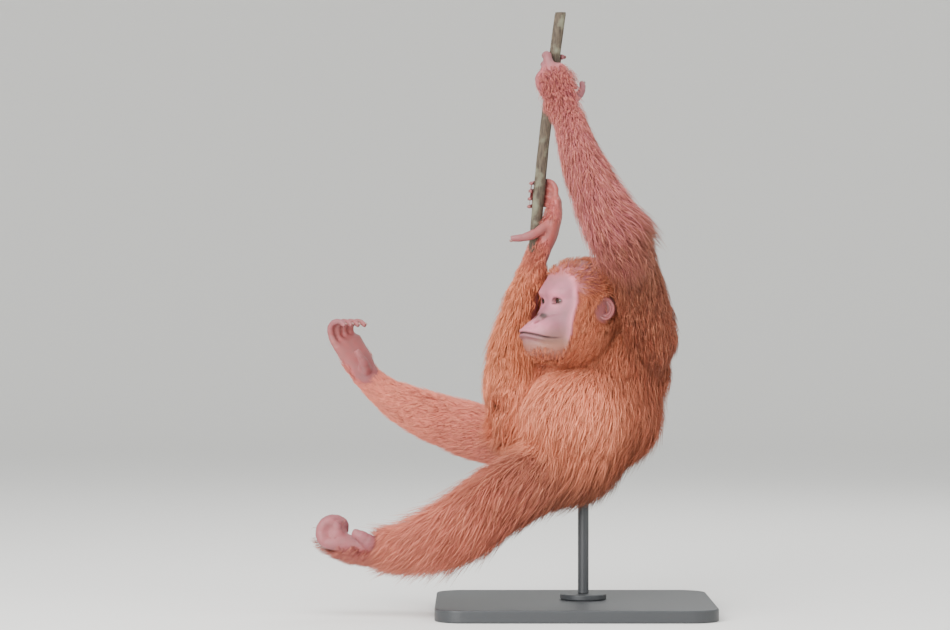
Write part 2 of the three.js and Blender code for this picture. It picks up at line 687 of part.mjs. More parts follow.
const flangeFoot = ROD_FOOT.clone().add(at(0, 0, GAP));
const rodFoot = flangeFoot.clone().add(at(0, 0, FLANGE.thick + GAP));
const rodTall = TRUNK_PLACE.z - rodFoot.z - 90;

add('stand_base', 'steel', base);
add('stand_flange', 'steel', (grow) => disc(FLANGE.radius, flangeFoot, FLANGE.thick, grow));
add('stem', 'bark', stem);
for (const [side, sign] of [['left', 1], ['right', -1]]) {
  add(`eye_${side}`, 'eye', (grow) => eyeball(sign, grow));
}
add('head', 'skin', headForm, head);
for (const [side, sign] of [['left', 1], ['right', -1]]) {
  add(`ear_${side}`, 'skin', (grow) => ear(sign, grow));
}
add('torso', 'coat', trunk);
add('stand_rod', 'steel', (grow) => disc(ROD_RADIUS, rodFoot, rodTall, grow));
for (const name of Object.keys(LIMBS)) add(name, 'coat', (grow) => limb(name, grow));
for (const [name, { palm, up, size, digits, thumb }] of Object.entries(HANDS)) {
  const [kind, side] = name.split('_');
  const [finger, first] = kind === 'hand' ? ['finger', 'thumb'] : ['toe', 'big_toe'];
  const nailSide = kind === 'hand' ? STEM_UP : up.clone().cross(at(1, 0.1, 0.2));
  add(name, 'skin', (grow) => sweep(palm, up, { sides: 10, rings: 7, grow }));
  digits.forEach((points, i) => {
    add(`${finger}_${side}_${i + 2}`, 'skin', (grow) => digit(points, size + grow, nailSide));
  });
  add(`${first}_${side}`, 'skin', (grow) => digit(thumb, size * 1.15 + grow, at(0, 0.2, 1)));
}

export default assemble();
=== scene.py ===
import math

import bmesh
import bpy
import numpy as np
from mathutils import Matrix, Vector
from mathutils.bvhtree import BVHTree
from mathutils.kdtree import KDTree


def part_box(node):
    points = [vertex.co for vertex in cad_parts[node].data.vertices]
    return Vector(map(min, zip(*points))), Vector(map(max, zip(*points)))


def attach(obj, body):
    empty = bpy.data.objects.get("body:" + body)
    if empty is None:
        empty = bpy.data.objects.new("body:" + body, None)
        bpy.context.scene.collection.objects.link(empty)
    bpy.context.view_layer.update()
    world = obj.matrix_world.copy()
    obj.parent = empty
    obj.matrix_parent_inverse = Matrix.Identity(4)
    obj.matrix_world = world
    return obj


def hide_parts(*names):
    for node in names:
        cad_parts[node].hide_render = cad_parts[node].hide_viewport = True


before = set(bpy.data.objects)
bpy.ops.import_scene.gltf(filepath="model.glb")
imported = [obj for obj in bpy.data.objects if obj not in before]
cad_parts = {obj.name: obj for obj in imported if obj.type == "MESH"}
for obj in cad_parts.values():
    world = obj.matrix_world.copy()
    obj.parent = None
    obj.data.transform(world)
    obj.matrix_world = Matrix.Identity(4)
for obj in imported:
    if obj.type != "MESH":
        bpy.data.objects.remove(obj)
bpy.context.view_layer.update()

MM = 0.001
UP = np.array((0.0, 0.0, 1.0))


def at(x, y, z):
    return np.array((x, y, z), float)


def unit(vectors):
    length = np.linalg.norm(vectors, axis=-1, keepdims=True)
    return vectors / np.maximum(length, 1e-9)


# Driving sizes, the same as the solids'

HEAD_YAW = math.radians(58)
TRUNK_YAW = math.radians(55)
HEAD_PLACE = at(19, -10, 445)
TRUNK_PLACE = at(30, 22, 290)
SKIN_BLEND = 18

SHOULDER_L = at(112, -12, 393)
ELBOW_L = at(66, -128, 538)
WRIST_L = at(-8, -45, 712)
SHOULDER_R = at(30, 108, 370)
ELBOW_R = at(-98, 4, 322)
WRIST_R = at(-50, 12, 520)
HIP_L = at(-30, -22, 212)
KNEE_L = at(-150, -72, 139)
ANKLE_L = at(-281, -50, 97)
HIP_R = at(-38, 45, 236)
KNEE_R = at(-150, 88, 260)
ANKLE_R = at(-306, 66, 345)

STEM_FOOT = at(-58, 5, 520)
STEM_TOP = at(-19, 5, 868)
STEM_BOW = 3
STEM_RADIUS = 8.5
FINGER = 6.2
TOE = 6.8
DIGIT_PITCH = 13.2
EYE_RADIUS = 9
EYE_PLACE = at(55.5, 18, 5)
ACROSS = at(0.3, 1, 0.2)

# The forms of the head and the trunk are ellipsoids: middle and radii, forwards, left and up
HEAD_FORMS = [
    ((-5, 0, 10), (62, 53, 53)),  # braincase
    ((26, 0, 22), (37, 42, 39)),  # forehead
    ((52, 0, 17), (15, 32, 9)),  # brow
    ((42, 0, -18), (36, 35, 36)),  # middle of the face
    ((78, 0, -38), (36, 31, 24)),  # muzzle
    ((63, 0, -58), (43, 30, 22)),  # lower jaw
    ((16, 0, -46), (44, 38, 32)),  # throat
    ((26, 30, -24), (32, 20, 34)),  # left cheek
    ((26, -30, -24), (32, 20, 34)),  # right cheek
]
TRUNK_FORMS = [
    ((-44, -3, 98), (42, 82, 34)),  # shoulder girdle
    ((-32, 3, 60), (68, 74, 62)),  # ribs
    ((4, 2, -7), (86, 84, 64)),  # loins
    ((44, 12, -14), (64, 70, 62)),  # belly
    ((38, -6, -66), (60, 62, 48)),  # hips
]
ELBOW_FOLD = ((94, -66, -4), (26, 28, 28))  # loose skin under the right elbow, only in this skin
TRUNK_LINE = [at(62, 46, 388), at(36, 26, 300), at(-4, 6, 200)]
TRUNK_COAT = 20

# Each station of a limb is its place, the radius of its flesh and the depth of its coat
LIMBS = {
    "neck": [(at(64, 48, 386), 40, 10), (at(42, 24, 412), 37, 10), (at(18, 0, 436), 34, 10)],
    "upper_arm_left": [(SHOULDER_L, 31, 10), (at(99, -46, 442), 30, 12),
                       (at(82, -95, 496), 27, 16), (ELBOW_L, 25, 18)],
    "forearm_left": [(at(60, -133, 532), 22, 42), (at(40, -118, 578), 27, 24),
                     (at(20, -98, 622), 24, 14), (at(5, -78, 662), 20, 12), (WRIST_L, 15.5, 8)],
    "upper_arm_right": [(SHOULDER_R, 32, 10), (at(-12, 84, 350), 31, 12),
                        (at(-56, 44, 334), 28, 14), (ELBOW_R, 25, 14)],
    "forearm_right": [(at(-98, 10, 320), 22, 14), (at(-90, 15, 372), 26, 12),
                      (at(-76, 17, 426), 22, 15), (at(-61, 15, 486), 17, 12), (WRIST_R, 14, 8)],
    "thigh_left": [(HIP_L, 36, 12), (at(-70, -42, 188), 37, 16), (at(-111, -60, 167), 36, 20),
                   (KNEE_L, 32, 24)],
    "shin_left": [(at(-144, -72, 142), 28, 24), (at(-188, -74, 118), 28, 22),
                  (at(-239, -62, 102), 22, 16), (ANKLE_L, 16, 8)],
    "thigh_right": [(HIP_R, 38, 6), (at(-70, 60, 242), 38, 6), (at(-110, 75, 250), 37, 6),
                    (KNEE_R, 35, 6)],
    "shin_right": [(at(-146, 88, 260), 32, 6), (at(-190, 92, 274), 33, 6),
                   (at(-242, 80, 296), 27, 5), (at(-282, 72, 321), 19, 4), (ANKLE_R, 15, 3)],
}


# Lines and places

def hump(value, width):
    return np.exp(-(value / width) ** 2)


def step(value, soft):
    return 1 / (1 + np.exp(-np.clip(value / soft, -30, 30)))


def facing(yaw):
    """Rows are forwards, left and up of what faces along `yaw`."""
    forward = at(-math.sin(yaw), -math.cos(yaw), 0)
    return np.array((forward, np.cross(UP, forward), UP))


HEAD_TURN = facing(HEAD_YAW)
TRUNK_TURN = facing(TRUNK_YAW)


def on_head(places):
    return np.asarray(places, float) @ HEAD_TURN + HEAD_PLACE


def head_places(points):
    return (points - HEAD_PLACE) @ HEAD_TURN.T


def smooth_line(stations, t, even=False):
    """Places and headings at the shares `t` of the smooth line through the stations."""
    stations = np.asarray(stations, float)
    padded = np.vstack((2 * stations[0] - stations[1], stations,
                        2 * stations[-1] - stations[-2]))
    span = np.clip(t, 0, 1) * (len(stations) - 1)
    i = np.minimum(span.astype(int), len(stations) - 2)
    s = (span - i)[:, None]
    before, start, end, after = (padded[i + k] for k in range(4))
    if even:
        leave, arrive = 0.4 * (end - before), 0.4 * (after - start)
    else:
        first, middle, last = (
            np.maximum(np.linalg.norm(b - a, axis=1, keepdims=True) ** 0.5, 1e-4)
            for a, b in ((before, start), (start, end), (end, after)))
        leave = middle * ((start - before) / first - (end - before) / (first + middle)
                          + (end - start) / middle)
        arrive = middle * ((end - start) / middle - (after - start) / (middle + last)
                           + (after - end) / last)
    a = 2 * start - 2 * end + leave + arrive
    b = -3 * start + 3 * end - 2 * leave - arrive
    return ((a * s + b) * s + leave) * s + start, unit((3 * a * s + 2 * b) * s + leave)


def stem_at(z):
    share = (z - STEM_FOOT[2]) / (STEM_TOP[2] - STEM_FOOT[2])
    point = STEM_FOOT + (STEM_TOP - STEM_FOOT) * share
    point[0] -= STEM_BOW * math.sin(math.pi * share)
    return point


def round_stem(root, z, start, end, drop):
    """The middle line of a finger that goes round the stem at height z."""
    places = [root]
    for share in (0, 0.34, 0.67, 1):
        angle = math.radians(start + (end - start) * share)
        near = STEM_RADIUS + FINGER + 0.6 - 0.25 * FINGER * share
        middle = stem_at(z)
        places.append(at(middle[0] + near * math.cos(angle),
                         middle[1] + near * math.sin(angle), z - drop * share))
    return places


STEM_UP = unit(STEM_TOP - STEM_FOOT)


def foot_left_toe(i):
    y = -66 + DIGIT_PITCH * i
    return [at(-341, y, 104), at(-357, y - 1, 107), at(-363, y, 122), at(-355, y, 135),
            at(-344 + 3 * i, y + 1, 134), at(-339 + 3 * i, y + 1, 124),
            at(-343 + 3 * i, y + 1, 115)]


def foot_right_toe(i):
    x, y = -330 + 14 - 9.4 * i, 12 - 9 * i
    return [at(x, 54 + y, 384), at(x - 9, 53 + y, 401), at(x - 8, 46 + y, 416),
            at(x + 4, 37 + y, 421), at(x + 13, 30 + y, 414)]


HANDS = {
    "hand_left": {
        "palm": [(WRIST_L, 15, 13), (at(-17, -37, 736), 21, 12), (at(-27, -28, 758), 27, 11),
                 (at(-36, -21, 780), 25, 9)],
        "up": at(0.2, 1, 0.3), "size": FINGER, "coat": 14, "plump": 1.25,
        "digits": [round_stem(at(-38 - 3 * i, -20, 798 - DIGIT_PITCH * i * 0.9),
                              806 - DIGIT_PITCH * i, 225, 20, 2) for i in range(4)],
        "thumb": [at(-8, -34, 738), at(6, -27, 746), at(12, -18, 756), at(11, -8, 766)],
    },
    "hand_right": {
        "palm": [(WRIST_R, 15, 14), (at(-38, 12, 546), 20, 15), (at(-28, 12, 572), 25, 13),
                 (at(-25, 14, 592), 25, 9)],
        "up": at(1, 0, 0.25), "size": FINGER * 0.9, "coat": 6, "thumb_plump": 1.5,
        "digits": [round_stem(at(-26, 4 + 5 * i, 612 - DIGIT_PITCH * i * 0.8),
                              624 - DIGIT_PITCH * i * 0.85, 20, 205, 4) for i in range(4)],
        "thumb": [at(-38, 0, 560), at(-54, -11, 549), at(-74, -15, 542), at(-92, -15, 540)],
    },
    "foot_left": {
        "palm": [(at(-277, -49, 97), 18, 17), (at(-303, -48, 97), 24, 17),
                 (at(-327, -47, 100), 27, 17), (at(-350, -46, 115), 25, 17)],
        "up": at(0, 0.3, 1), "size": TOE, "coat": 12, "plump": 1.5, "thumb_plump": 1.6,
        "thumb_nail": False,
        "digits": [foot_left_toe(i) for i in range(4)],
        "thumb": [at(-292, -66, 104), at(-300, -74, 112), at(-309, -77, 118),
                  at(-316, -74, 120)],
    },
    "foot_right": {
        "palm": [(at(-302, 64, 342), 17, 16), (at(-311, 60, 358), 22, 15),
                 (at(-322, 55, 376), 25, 13), (at(-328, 53, 389), 25, 10)],
        "up": at(0.62, -0.78, 0.1), "size": TOE, "coat": 4, "thumb_nail": False,
        "digits": [foot_right_toe(i) for i in range(4)],
        "thumb": [at(-303, 50, 350), at(-304, 36, 358), at(-309, 26, 368), at(-316, 22, 379)],
    },
}


# How far points are outside the forms, and which way is out

def outside_ball(local, middle, radii):
    scaled = (local - at(*middle)) / at(*radii)
    slope = scaled / at(*radii)
    size = np.linalg.norm(scaled, axis=1)
    steep = np.maximum(np.linalg.norm(slope, axis=1), 1e-9)
    return size * (size - 1) / steep, slope / steep[:, None]


def run_together(first, second, blend):
    (a, out_a), (b, out_b) = first, second
    share = np.clip(0.5 + 0.5 * (b - a) / blend, 0, 1)
    out = unit(out_a * share[:, None] + out_b * (1 - share[:, None]))
    return a * share + b * (1 - share) - blend * share * (1 - share), out


def outside_forms(points, forms, place, turn):
    local = (points - place) @ turn.T
    found = outside_ball(local, *forms[0])
    for form in forms[1:]:
        found = run_together(found, outside_ball(local, *form), SKIN_BLEND)
    return found[0], found[1] @ turn


FAR_OFF = 40


class Chain:
    """A tapered limb as many short lengths, each station its place, half width and half height."""

    def __init__(self, stations, across, lengths=4):
        t = np.linspace(0, 1, (len(stations) - 1) * lengths + 1)
        self.places, _ = smooth_line([s[0] for s in stations], t)
        self.sizes, _ = smooth_line([(s[1], s[-1], 0) for s in stations], t, even=True)
        self.across = across
        self.middle = self.places.mean(axis=0)
        self.reach = np.linalg.norm(self.places - self.middle, axis=1).max() + self.sizes.max()

    def measure(self, points):
        """Distance outside, the way out, the heading along the limb and the share along it.

        Points far from the limb get only a rough distance."""
        distance = np.linalg.norm(points - self.middle, axis=1) - self.reach
        near = distance < FAR_OFF
        out, heading = np.zeros_like(points), np.zeros_like(points)
        share = np.zeros(len(points))
        found = self.measure_near(points[near])
        distance[near], out[near], heading[near], share[near] = found
        return distance, out, heading, share

    def measure_near(self, points):
        count = len(points)
        best = np.full(count, 1e9)
        out = np.zeros((count, 3))
        heading = np.zeros((count, 3))
        share = np.zeros(count)
        last = len(self.places) - 1
        for i in range(last):
            start, line = self.places[i], self.places[i + 1] - self.places[i]
            side = unit(np.cross(line, self.across))
            s = np.clip((points - start) @ line / (line @ line), 0, 1)
            away = points - start - s[:, None] * line
            far = np.linalg.norm(away, axis=1)
            width, height = (self.sizes[i, k] + (self.sizes[i + 1, k] - self.sizes[i, k]) * s
                             for k in (0, 1))
            sideways = away @ side
            rest = np.sqrt(np.maximum(far ** 2 - sideways ** 2, 0))
            scaled = np.maximum(np.hypot(sideways / width, rest / height), 1e-6)
            distance = far * (1 - 1 / scaled)
            nearer = distance < best
            best[nearer] = distance[nearer]
            out[nearer] = away[nearer]
            heading[nearer] = unit(line)
            share[nearer] = (i + s[nearer]) / last
        return best, unit(out), heading, share


def limb_chain(name):
    return Chain([(p, radius, radius) for p, radius, coat in LIMBS[name]], ACROSS)


def digit_stations(hand):
    """Each digit's stations, from where its bone starts inside the palm."""
    digits = []
    start = hand["palm"][1][0]
    for points in hand["digits"] + [hand["thumb"]]:
        thumb = points is hand["thumb"]
        size = hand["size"] * (hand.get("thumb_plump", 1.25) if thumb else hand.get("plump", 1))
        last = len(points) - 1
        stations = [(start + 0.4 * (points[0] - start), size * 0.95, size * 0.95)]
        for i, point in enumerate(points):
            half = size * (1 - 0.3 * i / last)
            stations.append((point, half, half))
        digits.append(stations)
    return digits


def digit_chains(hand):
    return [Chain(stations, ACROSS, 3) for stations in digit_stations(hand)]


HAND_LIMBS = {"hand_left": "forearm_left", "hand_right": "forearm_right",
              "foot_left": "shin_left", "foot_right": "shin_right"}
CUFF = 42
TUCK = 1.5  # one skin lies this far under the other where they pass
KNUCKLE_CREASE = 0.6
LIMB_CHAINS = {name: limb_chain(name) for name in LIMBS}
PALM_CHAINS = {name: Chain(hand["palm"], hand["up"]) for name, hand in HANDS.items()}
DIGIT_CHAINS = {name: digit_chains(hand) for name, hand in HANDS.items()}


def outside_body(points):
    found = outside_forms(points, TRUNK_FORMS + [ELBOW_FOLD], TRUNK_PLACE, TRUNK_TURN)
    for chain in LIMB_CHAINS.values():
        found = run_together(found, chain.measure(points)[:2], 14)
    return found


def outside_head(points):
    return outside_forms(points, HEAD_FORMS, HEAD_PLACE, HEAD_TURN)


def outside_hand(points, name):
    *digits, thumb = [chain.measure(points)[:2] for chain in DIGIT_CHAINS[name]]
    found = digits[0]
    for digit in digits[1:]:
        found = run_together(found, digit, 1.2)
    found = run_together(found, PALM_CHAINS[name].measure(points)[:2], 9)
    found = run_together(found, thumb, 4)
    return run_together(found, LIMB_CHAINS[HAND_LIMBS[name]].measure(points)[:2], 6)


def up_the_cuff(points, name):
    """0 on the hand, and 1 beyond the end of the cuff of limb that its finer skin has."""
    wrist = HANDS[name]["palm"][0][0]
    return step(np.linalg.norm(points - wrist, axis=1) - CUFF, 3)


# Rough closed bodies, which the remesh joins and the functions above then smooth

def add_ball(rough, middle, radii, turn, place):
    grown = bmesh.ops.create_icosphere(rough, subdivisions=4, radius=1)["verts"]
    for vertex in grown:
        vertex.co = (np.array(vertex.co) * radii + middle) @ turn + place


def add_limb(rough, stations, across, sides=16, rings=16):
    """A closed body along the smooth line through its stations, rounded at its ends."""
    grown = bmesh.ops.create_uvsphere(rough, u_segments=sides, v_segments=rings, radius=1)["verts"]
    places = np.array([vertex.co for vertex in grown])
    t = (1 - places[:, 2]) / 2
    points = [s[0] for s in stations]
    middle, along = smooth_line(points, t)
    sizes, _ = smooth_line([(s[1], s[-1], 0) for s in stations], t, even=True)
    even = smooth_line(points, np.linspace(0, 1, 60))[0]
    length = np.linalg.norm(np.diff(even, axis=0), axis=1).sum()
    cap = np.minimum(1, np.minimum(t, 1 - t) * length / sizes[:, :2].max(axis=1))
    full = np.sqrt(1 - (1 - cap) ** 2)
    side = unit(np.cross(along, across))
    top = np.cross(side, along)
    ring = np.maximum(np.hypot(places[:, 0], places[:, 1]), 1e-9)
    middle += side * (places[:, 0] / ring * sizes[:, 0] * full)[:, None]
    middle += top * (places[:, 1] / ring * sizes[:, 1] * full)[:, None]
    for vertex, place in zip(grown, middle):
        vertex.co = place


def remeshed(rough, voxel):
    """One closed skin of even squares round everything in `rough`, as places and faces."""
    mesh = bpy.data.meshes.new("rough")
    rough.to_mesh(mesh)
    rough.free()
    body = bpy.data.objects.new("rough", mesh)
    bpy.context.collection.objects.link(body)
    remesh = body.modifiers.new("One skin", "REMESH")
    remesh.mode = "VOXEL"
    remesh.voxel_size = voxel
    depsgraph = bpy.context.evaluated_depsgraph_get()
    result = bmesh.new()
    result.from_mesh(body.evaluated_get(depsgraph).to_mesh())
    bpy.data.objects.remove(body)
    bpy.data.meshes.remove(mesh)
    return result


def places_of(mesh):
    return np.array([vertex.co for vertex in mesh.verts])


def move_to(mesh, places):
    for vertex, place in zip(mesh.verts, places):
        vertex.co = place


def settle(points, outside, rounds=5):
    """Moves points onto the surface that `outside` measures from."""
    for _ in range(rounds):
        distance, out = outside(points)
        points = points - out * np.clip(distance, -6, 6)[:, None]
    return points


BODY_VOXEL = 5.4
HEAD_VOXEL = 2.2
HAND_VOXEL = 1.75


def body_skin():
    rough = bmesh.new()
    for middle, radii in TRUNK_FORMS + [ELBOW_FOLD]:
        add_ball(rough, middle, radii, TRUNK_TURN, TRUNK_PLACE)
    for stations in LIMBS.values():
        add_limb(rough, [(p, radius, radius) for p, radius, coat in stations], ACROSS)
    skin = remeshed(rough, BODY_VOXEL)
    points = settle(places_of(skin), outside_body)
    _, out = outside_body(points)
    tuck = TUCK * sum(1 - up_the_cuff(points, name) for name in HANDS)
    move_to(skin, points - out * tuck[:, None])
    return skin


def hand_skin(name):
    hand = HANDS[name]
    rough = bmesh.new()
    (end, width, height), before = hand["palm"][-1], hand["palm"][-2][0]
    beyond = (end + 8 * unit(end - before), 0.8 * width, 0.8 * height)
    add_limb(rough, hand["palm"] + [beyond], hand["up"])
    limb = LIMB_CHAINS[HAND_LIMBS[name]]
    reach = np.linalg.norm(limb.places - hand["palm"][0][0], axis=1) < CUFF + 22
    cuff = [(p, size[0], size[0]) for p, size in zip(limb.places[reach], limb.sizes[reach])]
    add_limb(rough, cuff + [hand["palm"][1]], ACROSS)
    for stations in digit_stations(hand):
        add_limb(rough, stations, ACROSS if "foot" in name else STEM_UP, 12, 20)
    skin = remeshed(rough, HAND_VOXEL)
    points = settle(places_of(skin), lambda points: outside_hand(points, name))
    _, out = outside_hand(points, name)
    depth = TUCK * up_the_cuff(points, name)
    for chain, stations in zip(DIGIT_CHAINS[name], digit_stations(hand)):
        distance, _, _, share = chain.measure(points)
        along = share * (len(stations) - 1)
        joint = hump(8 * (along - np.round(along)), 1.1) * (along > 1.5) * (distance < 1)
        depth += KNUCKLE_CREASE * joint
    move_to(skin, points - out * depth[:, None])
    return skin


# The face, carved in the head's own places: forwards, left and up from the middle of the skull

MOUTH = {"half": 31, "line": -40, "droop": 7}


def mouth_height(left):
    return MOUTH["line"] - MOUTH["droop"] * (left / MOUTH["half"]) ** 2


def cheek_edge(up):
    """How far forward the bare face ends, where a low ridge of skin runs down the cheek."""
    return 56 - 9 * step(up + 8, 6)


def eye_opening(beside, above):
    """Above 0 inside the opening between the lids."""
    half = 3.4 * np.sqrt(np.clip(1 - (beside / 8) ** 2, 0, 1))
    middle = 0.5 - 0.012 * beside ** 2 + 0.05 * beside
    return half - np.abs(above - middle)


def carve_face(head, out):
    """Moves the head's places: sockets, lids, nose, lips and the ridge down each cheek."""
    forward, left, up = head.T
    aside = np.abs(left)
    front = step(forward - 30, 3)
    depth = 4.5 * hump(aside - 20, 12) * hump(up - 3, 9) * front
    depth += 1.6 * hump(aside - 17, 13) * hump(up + 12, 3) * front
    depth += 1.0 * hump(aside - 16, 11) * hump(up + 18 - 0.2 * aside, 2) * front
    depth -= 2.6 * hump(aside - 17, 14) * hump(up - 17, 5.5) * front
    depth += 5.0 * hump(up + 20, 11) * step(forward - 82, 4)
    line = up - mouth_height(left)
    at_mouth = step(forward - 68, 3) * step(MOUTH["half"] - aside, 1.5)
    depth += 3.0 * hump(line, 0.9) * at_mouth
    depth -= 2.2 * hump(line - 4.5, 3) * at_mouth * step(MOUTH["half"] - 4 - aside, 4)
    depth -= 2.4 * hump(line + 4.5, 3) * at_mouth * step(MOUTH["half"] - 4 - aside, 4)
    depth += 1.2 * hump(line + 11, 3) * at_mouth
    depth += 0.8 * hump(aside - 33, 2.5) * hump(up + 46, 12) * step(forward - 60, 4)
    depth -= 3.4 * hump(aside - 7, 3.6) * hump(up + 15, 4.5) * step(forward - 70, 3)
    depth += 4.6 * hump(left, 13) * hump(up - 4, 10) * step(forward - 45, 3)
    depth += 4.0 * step(forward - 99, 3)
    depth += 1.4 * hump(left, 2.5) * hump(up + 22, 6) * step(forward - 80, 3)
    edge = forward - cheek_edge(up)
    depth -= 2.4 * hump(edge, 3.2) * step(aside - 16, 3) * step(up + 82, 4) * step(24 - up, 4)
    depth += 1.6 * hump(edge + 8, 5) * step(aside - 16, 3) * step(up + 82, 4) * step(20 - up, 4)
    nostril = hump((aside - 8.6) / 5.4, 1) * hump((up + 15.5 + 0.3 * (aside - 6)) / 3.5, 1)
    depth += 9 * nostril ** 1.5 * step(forward - 72, 2)
    carved = head - out * depth[:, None]

    beside, above = aside - EYE_PLACE[1], up - EYE_PLACE[2]
    lid_radius = EYE_RADIUS + 1.9
    share = np.clip((beside ** 2 * 0.85 + above ** 2) / lid_radius ** 2, 0, 1)
    lid = EYE_PLACE[0] + lid_radius * (1 - 1.7 * (1 - np.sqrt(1 - share)))
    opening = eye_opening(beside, above)
    lid += 0.7 * hump(opening + 1.2, 0.8) - 0.8 * hump(opening + 3.8, 0.7) * (above > 0)
    lid -= 0.6 * hump(opening + 4.6, 0.8) * (above < 0)
    lid = np.where((share < 1) & (forward > 40), lid, -99)
    merge = np.clip(0.5 + 0.5 * (lid - carved[:, 0]) / 2.5, 0, 1)
    ahead = carved[:, 0] * (1 - merge) + lid * merge + 2.5 * merge * (1 - merge)
    carved[:, 0] = np.where((opening > 0) & (forward > 40), EYE_PLACE[0] - 1, ahead)
    return carved


def head_skin():
    rough = bmesh.new()
    for middle, radii in HEAD_FORMS:
        add_ball(rough, middle, radii, HEAD_TURN, HEAD_PLACE)
    skin = remeshed(rough, HEAD_VOXEL)
    near_eye = []
    for edge in skin.edges:
        forward, left, up = head_places(np.array((edge.verts[0].co + edge.verts[1].co) / 2))
        if forward > 48 and abs(left) < 33 and -56 < up < 20:
            near_eye.append(edge)
    bmesh.ops.subdivide_edges(skin, edges=near_eye, cuts=1, use_grid_fill=True)
    points = settle(places_of(skin), outside_head)
    _, out = outside_head(points)
    carved = carve_face(head_places(points), out @ HEAD_TURN.T)
    move_to(skin, on_head(carved))
    return skin


EAR = {"forward": 3, "left": 50, "up": -6, "tall": 16.5, "long": 13.5, "turn": math.radians(24)}


def ear_skin(sign):
    """A shallow dish: a rolled rim, the fold inside it, the hollow, its lip and the lobe."""
    skin = bmesh.new()
    bmesh.ops.create_uvsphere(skin, u_segments=64, v_segments=44, radius=1)
    ahead, tall, out = places_of(skin).T
    r = np.hypot(ahead, tall)
    angle = np.degrees(np.arctan2(tall, ahead))
    height = 4.5 * r ** 2 + np.where(out > 0, 0.8, 2.4) * out
    behind = step(np.abs(angle + 35) - 28, 8)
    rim = 3.0 * hump(r - 0.86, 0.1) * behind
    fold = 2.8 * hump(r - 0.54, 0.1) * step(np.abs(angle) - 75, 10)
    hollow = 4.0 * hump(np.hypot(ahead - 0.12, tall + 0.12), 0.3)
    hollow += 2.2 * hump(np.hypot(ahead + 0.05, tall - 0.5), 0.16)
    lip = 2.8 * hump(np.hypot(ahead - 0.66, tall + 0.06), 0.17)
    crus = 1.8 * hump(tall - 0.14, 0.08) * step(ahead - 0.1, 0.1) * step(0.8 - ahead, 0.05)
    height += (out > 0) * (rim + fold + lip + crus - hollow)
    ahead = EAR["long"] * ahead * (1 - 0.2 * (tall < 0) * tall ** 2)
    turned = np.column_stack((
        EAR["forward"] + ahead * math.cos(EAR["turn"]) + height * math.sin(EAR["turn"]),
        sign * (EAR["left"] + height * math.cos(EAR["turn"]) - ahead * math.sin(EAR["turn"])),
        EAR["up"] + EAR["tall"] * tall))
    move_to(skin, on_head(turned))
    neck = bmesh.new()
    root = on_head([[EAR["forward"] + 2, sign * (EAR["left"] - 12), EAR["up"]],
                    [EAR["forward"], sign * (EAR["left"] - 6), EAR["up"]],
                    [EAR["forward"], sign * (EAR["left"] - 1.5), EAR["up"]]])
    add_limb(neck, [(root[0], 8, 10), (root[1], 9, 11), (root[2], 8, 10)], UP, 20, 12)
    added = bpy.data.meshes.new("ear")
    neck.to_mesh(added)
    neck.free()
    skin.from_mesh(added)
    bpy.data.meshes.remove(added)
    bmesh.ops.recalc_face_normals(skin, faces=skin.faces)
    return skin


def ear_depth(forward, aside):
    """How far a place on the ear is out from the ear's back."""
    return ((forward - EAR["forward"]) * math.sin(EAR["turn"])
            + (aside - EAR["left"]) * math.cos(EAR["turn"]))


# What grows where. Each part has a heading for its hair, and its own sizes of tuft.

PARTS = ["torso", "head", *LIMBS, *HANDS]
COATS = {  # tufts for each square centimetre, length, half width, towards, droop, hang
    "torso": (31, 46, 0.56, 1, 0.45, 0.6),
    "head": (46, 26, 0.36, 1, 0.0, 0.5),
    "neck": (22, 40, 0.54, -1, 0.8, 0.2),
    "upper_arm_left": (29, 40, 0.56, -1, 0.9, 0.6),
    "forearm_left": (36, 42, 0.5, -1, 0.7, 1.0),
    "upper_arm_right": (27, 42, 0.56, 1, 0.9, 1.0),
    "forearm_right": (32, 42, 0.5, -1, 0.8, 1.0),
    "thigh_left": (33, 46, 0.54, 1, 0.8, 1.0),
    "shin_left": (38, 42, 0.5, 1, 0.7, 1.0),
    "thigh_right": (35, 30, 0.42, 1, 0.4, 0.3),
    "shin_right": (39, 26, 0.38, 1, 0.4, 0.3),
    "hand_left": (58, 15, 0.3, -1, 0.3, 0.2),
    "hand_right": (32, 14, 0.24, -1, 0.4, 0.2),
    "foot_left": (50, 13, 0.28, 1, 0.6, 0.6),
    "foot_right": (38, 16, 0.24, 1, 0.4, 0.2),
}
BLEND_PARTS = 9


def head_heading(points):
    """The crown's hair runs back, and the whiskers run down and a little forwards."""
    forward, _, up = head_places(points).T
    crown = step(up - 10, 5)
    ahead = -crown + 0.4 * (1 - crown) * step(forward + 6, 8)
    lie = np.column_stack((ahead, np.zeros(len(points)), -0.3 * crown - (1 - crown)))
    return unit(lie) @ HEAD_TURN


def measure_parts(points):
    """For each part: how far outside it the points are, its heading there and the share along."""
    trunk_line = Chain([(p, 60, 60) for p in TRUNK_LINE], ACROSS).measure(points)
    trunk = outside_forms(points, TRUNK_FORMS + [ELBOW_FOLD], TRUNK_PLACE, TRUNK_TURN)
    found = {"torso": (trunk[0], trunk_line[2], trunk_line[3])}
    found["head"] = (outside_head(points)[0], head_heading(points), np.zeros(len(points)))
    for name, chain in {**LIMB_CHAINS, **PALM_CHAINS}.items():
        distance, _, heading, share = chain.measure(points)
        found[name] = (distance, heading, share)
    return found


def coat_depth(name, share):
    if name == "torso":
        return np.full(len(share), float(TRUNK_COAT))
    if name == "head":
        return np.full(len(share), 8.0)
    if name in HANDS:
        return np.full(len(share), float(HANDS[name]["coat"]))
    stations = [(coat, 0, 0) for _, _, coat in LIMBS[name]]
    return smooth_line(stations, share, even=True)[0][:, 0]


